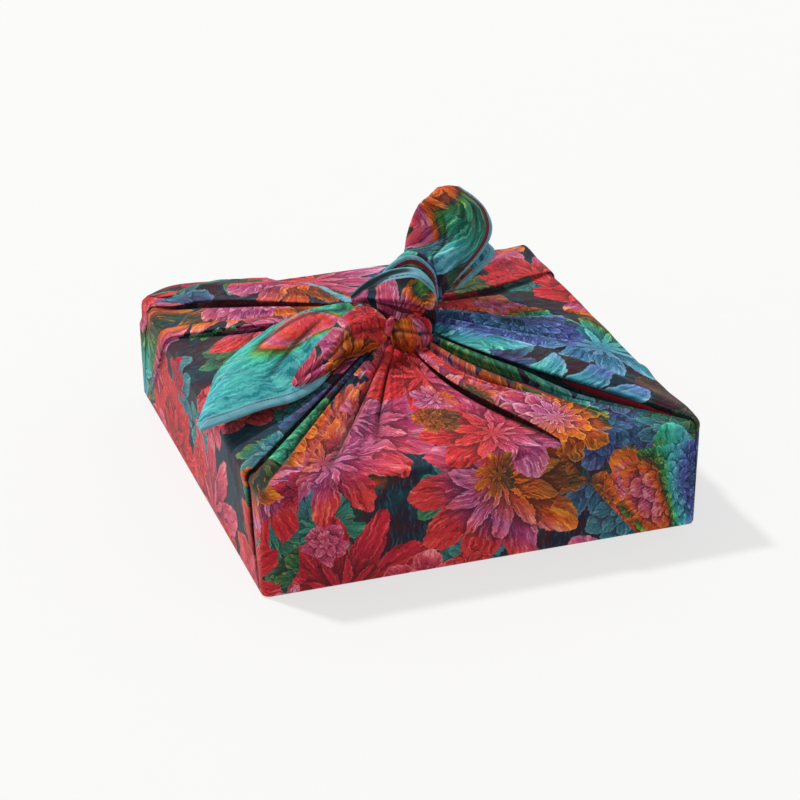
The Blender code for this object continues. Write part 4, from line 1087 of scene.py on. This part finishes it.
def cloth_material():
    """Printed cotton: flowers, hems, painted shade in the deep folds, a faint sheen and a fine
    weave.
    """
    made = bpy.data.materials.new("printed_cotton")
    made.use_nodes = True
    tree = made.node_tree
    shader = tree.nodes["Principled BSDF"]
    r = Recipe(tree)
    flat, colour = print_colour(r)
    hem = r.value("hem")
    band = r.mix(r.noise(flat, 300.0, 3.0), "3c8494", "8cc2d0")
    stripe = r.value("stripe")
    hollow = r.value("hollow")
    red = r.mix(r.noise(flat, 260.0, 3.0), "4a0a18", "7c1a2c")
    colour = r.mix(r.do("LESS_THAN", hem, stripe), colour, red)
    colour = r.mix(r.do("LESS_THAN", hem, 1.0), colour, band)
    seam = r.ease(r.do("ABSOLUTE", r.do("SUBTRACT", hem, STITCH_SHARE)), 0.12, 0.02)
    colour = r.mix(r.do("MULTIPLY", seam, 0.45), colour, "123c48")
    threads = r.scale(flat, 2 * math.pi / THREAD_PITCH)
    part = r.node("ShaderNodeSeparateXYZ", {0: threads}, None)
    weave = r.do("MULTIPLY", r.do("SINE", part.outputs[0]), r.do("SINE", part.outputs[1]))
    slub = r.do("MULTIPLY_ADD", r.noise(flat, 220.0, 4.0, 0.7), 0.22, 0.90)
    tint = r.do("MULTIPLY", r.do("MULTIPLY_ADD", weave, 0.05, 1.0), slub)
    grey = r.node("ShaderNodeCombineColor", dict.fromkeys(range(3), tint))
    colour = r.mix(1.0, colour, grey, "MULTIPLY")
    # Painted shade: the colour goes towards near black where the painted shade value is high, in
    # the deep folds and the knot's core.
    colour = r.mix(hollow, colour, "04030a")
    r.feed(shader.inputs["Base Color"], colour)
    r.feed(shader.inputs["Roughness"], r.do("MULTIPLY_ADD", r.noise(flat, 120.0, 2.0), 0.12, 0.60))
    fuzz = r.do("MULTIPLY", r.noise(flat, 420.0, 3.0), 0.8)
    height = r.do("ADD", r.do("MULTIPLY", weave, 0.5), fuzz)
    bump = r.node("ShaderNodeBump", {"Height": height, "Strength": 0.25, "Distance": 0.0002})
    r.feed(shader.inputs["Normal"], bump)
    shader.inputs["Sheen Weight"].default_value = 0.06
    shader.inputs["Sheen Roughness"].default_value = 0.4
    shader.inputs["Specular IOR Level"].default_value = 0.22
    return made


def plain_material(name, low, high, scale, roughness, bump):
    """A procedural finish of two close colours with a fine grain."""
    made = bpy.data.materials.new(name)
    made.use_nodes = True
    shader = made.node_tree.nodes["Principled BSDF"]
    r = Recipe(made.node_tree)
    spot = r.node("ShaderNodeTexCoord", {}, "Object")
    grain = r.noise(spot, scale, 4.0, 0.6)
    r.feed(shader.inputs["Base Color"], r.mix(grain, low, high))
    relief = r.node("ShaderNodeBump", {"Height": grain, "Strength": bump, "Distance": 0.0003})
    r.feed(shader.inputs["Normal"], relief)
    shader.inputs["Roughness"].default_value = roughness
    return made


def dress():
    """Every piece of the cloth and the box's card."""
    finish = cloth_material()
    body = wrapped_cloth(finish)
    others = [strip(*row, finish) for row in STRIPS]
    thread = plain_material("thread", "16323c", "2a5560", 900.0, 0.7, 0.2)
    points, faces = [], []
    for name, side, start, end in (
        ("front_tail", 0, 0.0, 0.99), ("over_band", 0, 0.38, 0.86),
        ("arch_front", 0, 0.2, 0.85), ("back_tail", 0, 0.3, 0.98), ("back_tail", 1, 0.3, 0.98),
    ):
        row = next(row for row in STRIPS if row[0] == name)
        more, quads = stitches(*row[1:4], side, row[6], row[8], start, end)
        faces += [tuple(k + len(points) for k in quad) for quad in quads]
        points += more.tolist()
    others.append(new_piece("hem_stitches", np.array(points) * MM, faces, thread))
    shape = bmesh.new()
    bmesh.ops.create_uvsphere(shape, u_segments=48, v_segments=32, radius=1)
    bmesh.ops.scale(shape, vec=[0.94 * s * MM for s in CORE_SIZE], verts=shape.verts)
    bmesh.ops.translate(shape, vec=[p * MM for p in KNOT_CORE], verts=shape.verts)
    core = new_piece("knot_core", [], [], finish)
    shape.to_mesh(core.data)
    shape.free()
    core.data.shade_smooth()
    spots = np.array([core.data.vertices[loop.vertex_index].co[:2] for loop in core.data.loops])
    set_map(core, spots + (1.5, 0.5))
    everywhere = np.ones(len(core.data.vertices))
    # The knot's core is darkened all over with painted shade (0.7).
    levels = {"tone": 0.1, "hem": 9, "hollow": 0.7, "stripe": 1}
    set_values(core, **{name: level * everywhere for name, level in levels.items()})
    others.append(core)
    card = plain_material("box_card", "d8d2c6", "e4dfd4", 600.0, 0.75, 0.15)
    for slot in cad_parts["gift_box"].material_slots:
        slot.material = card


def studio():
    """A white floor and background, a soft key light from behind on the left, and the camera."""
    floor_mesh = bpy.data.meshes.new("floor")
    size = 4.0
    corners = [(x * size, y * size, 0) for x, y in ((-1, -1), (1, -1), (1, 1), (-1, 1))]
    floor_mesh.from_pydata(corners, [], [(0, 1, 2, 3)])
    floor = bpy.data.objects.new("floor", floor_mesh)
    bpy.context.scene.collection.objects.link(floor)
    white = plain_material("white_floor", "7a7a79", "7c7c7b", 40.0, 0.8, 0.0)
    glow = white.node_tree.nodes["Principled BSDF"].inputs
    glow["Emission Color"].default_value = (1, 0.998, 0.994, 1)
    glow["Emission Strength"].default_value = 0.675
    floor_mesh.materials.append(white)
    world = bpy.data.worlds.new("studio")
    world.use_nodes = True
    world.node_tree.nodes["Background"].inputs[0].default_value = (1, 1, 1, 1)
    world.node_tree.nodes["Background"].inputs[1].default_value = 0.52
    bpy.context.scene.world = world
    key = bpy.data.objects.new("key", bpy.data.lights.new("key", "SUN"))
    key.data.energy = 2.9
    key.data.angle = math.radians(6)
    key.rotation_euler = Vector((0.386, -0.475, -0.793)).to_track_quat("-Z", "Y").to_euler()
    bpy.context.scene.collection.objects.link(key)
    camera = bpy.data.objects.new("camera", bpy.data.cameras.new("camera"))
    camera.data.lens = 118.8
    camera.data.sensor_width = 36
    camera.location = (-0.375, -1.082, 0.602)
    turn, fall = math.radians(18.97), math.radians(26.55)
    level = math.cos(fall)
    ahead = Vector((math.sin(turn) * level, math.cos(turn) * level, -math.sin(fall)))
    camera.rotation_euler = ahead.to_track_quat("-Z", "Y").to_euler()
    bpy.context.scene.collection.objects.link(camera)
    bpy.context.scene.camera = camera
    bpy.context.scene.view_settings.view_transform = "Standard"


dress()
studio()
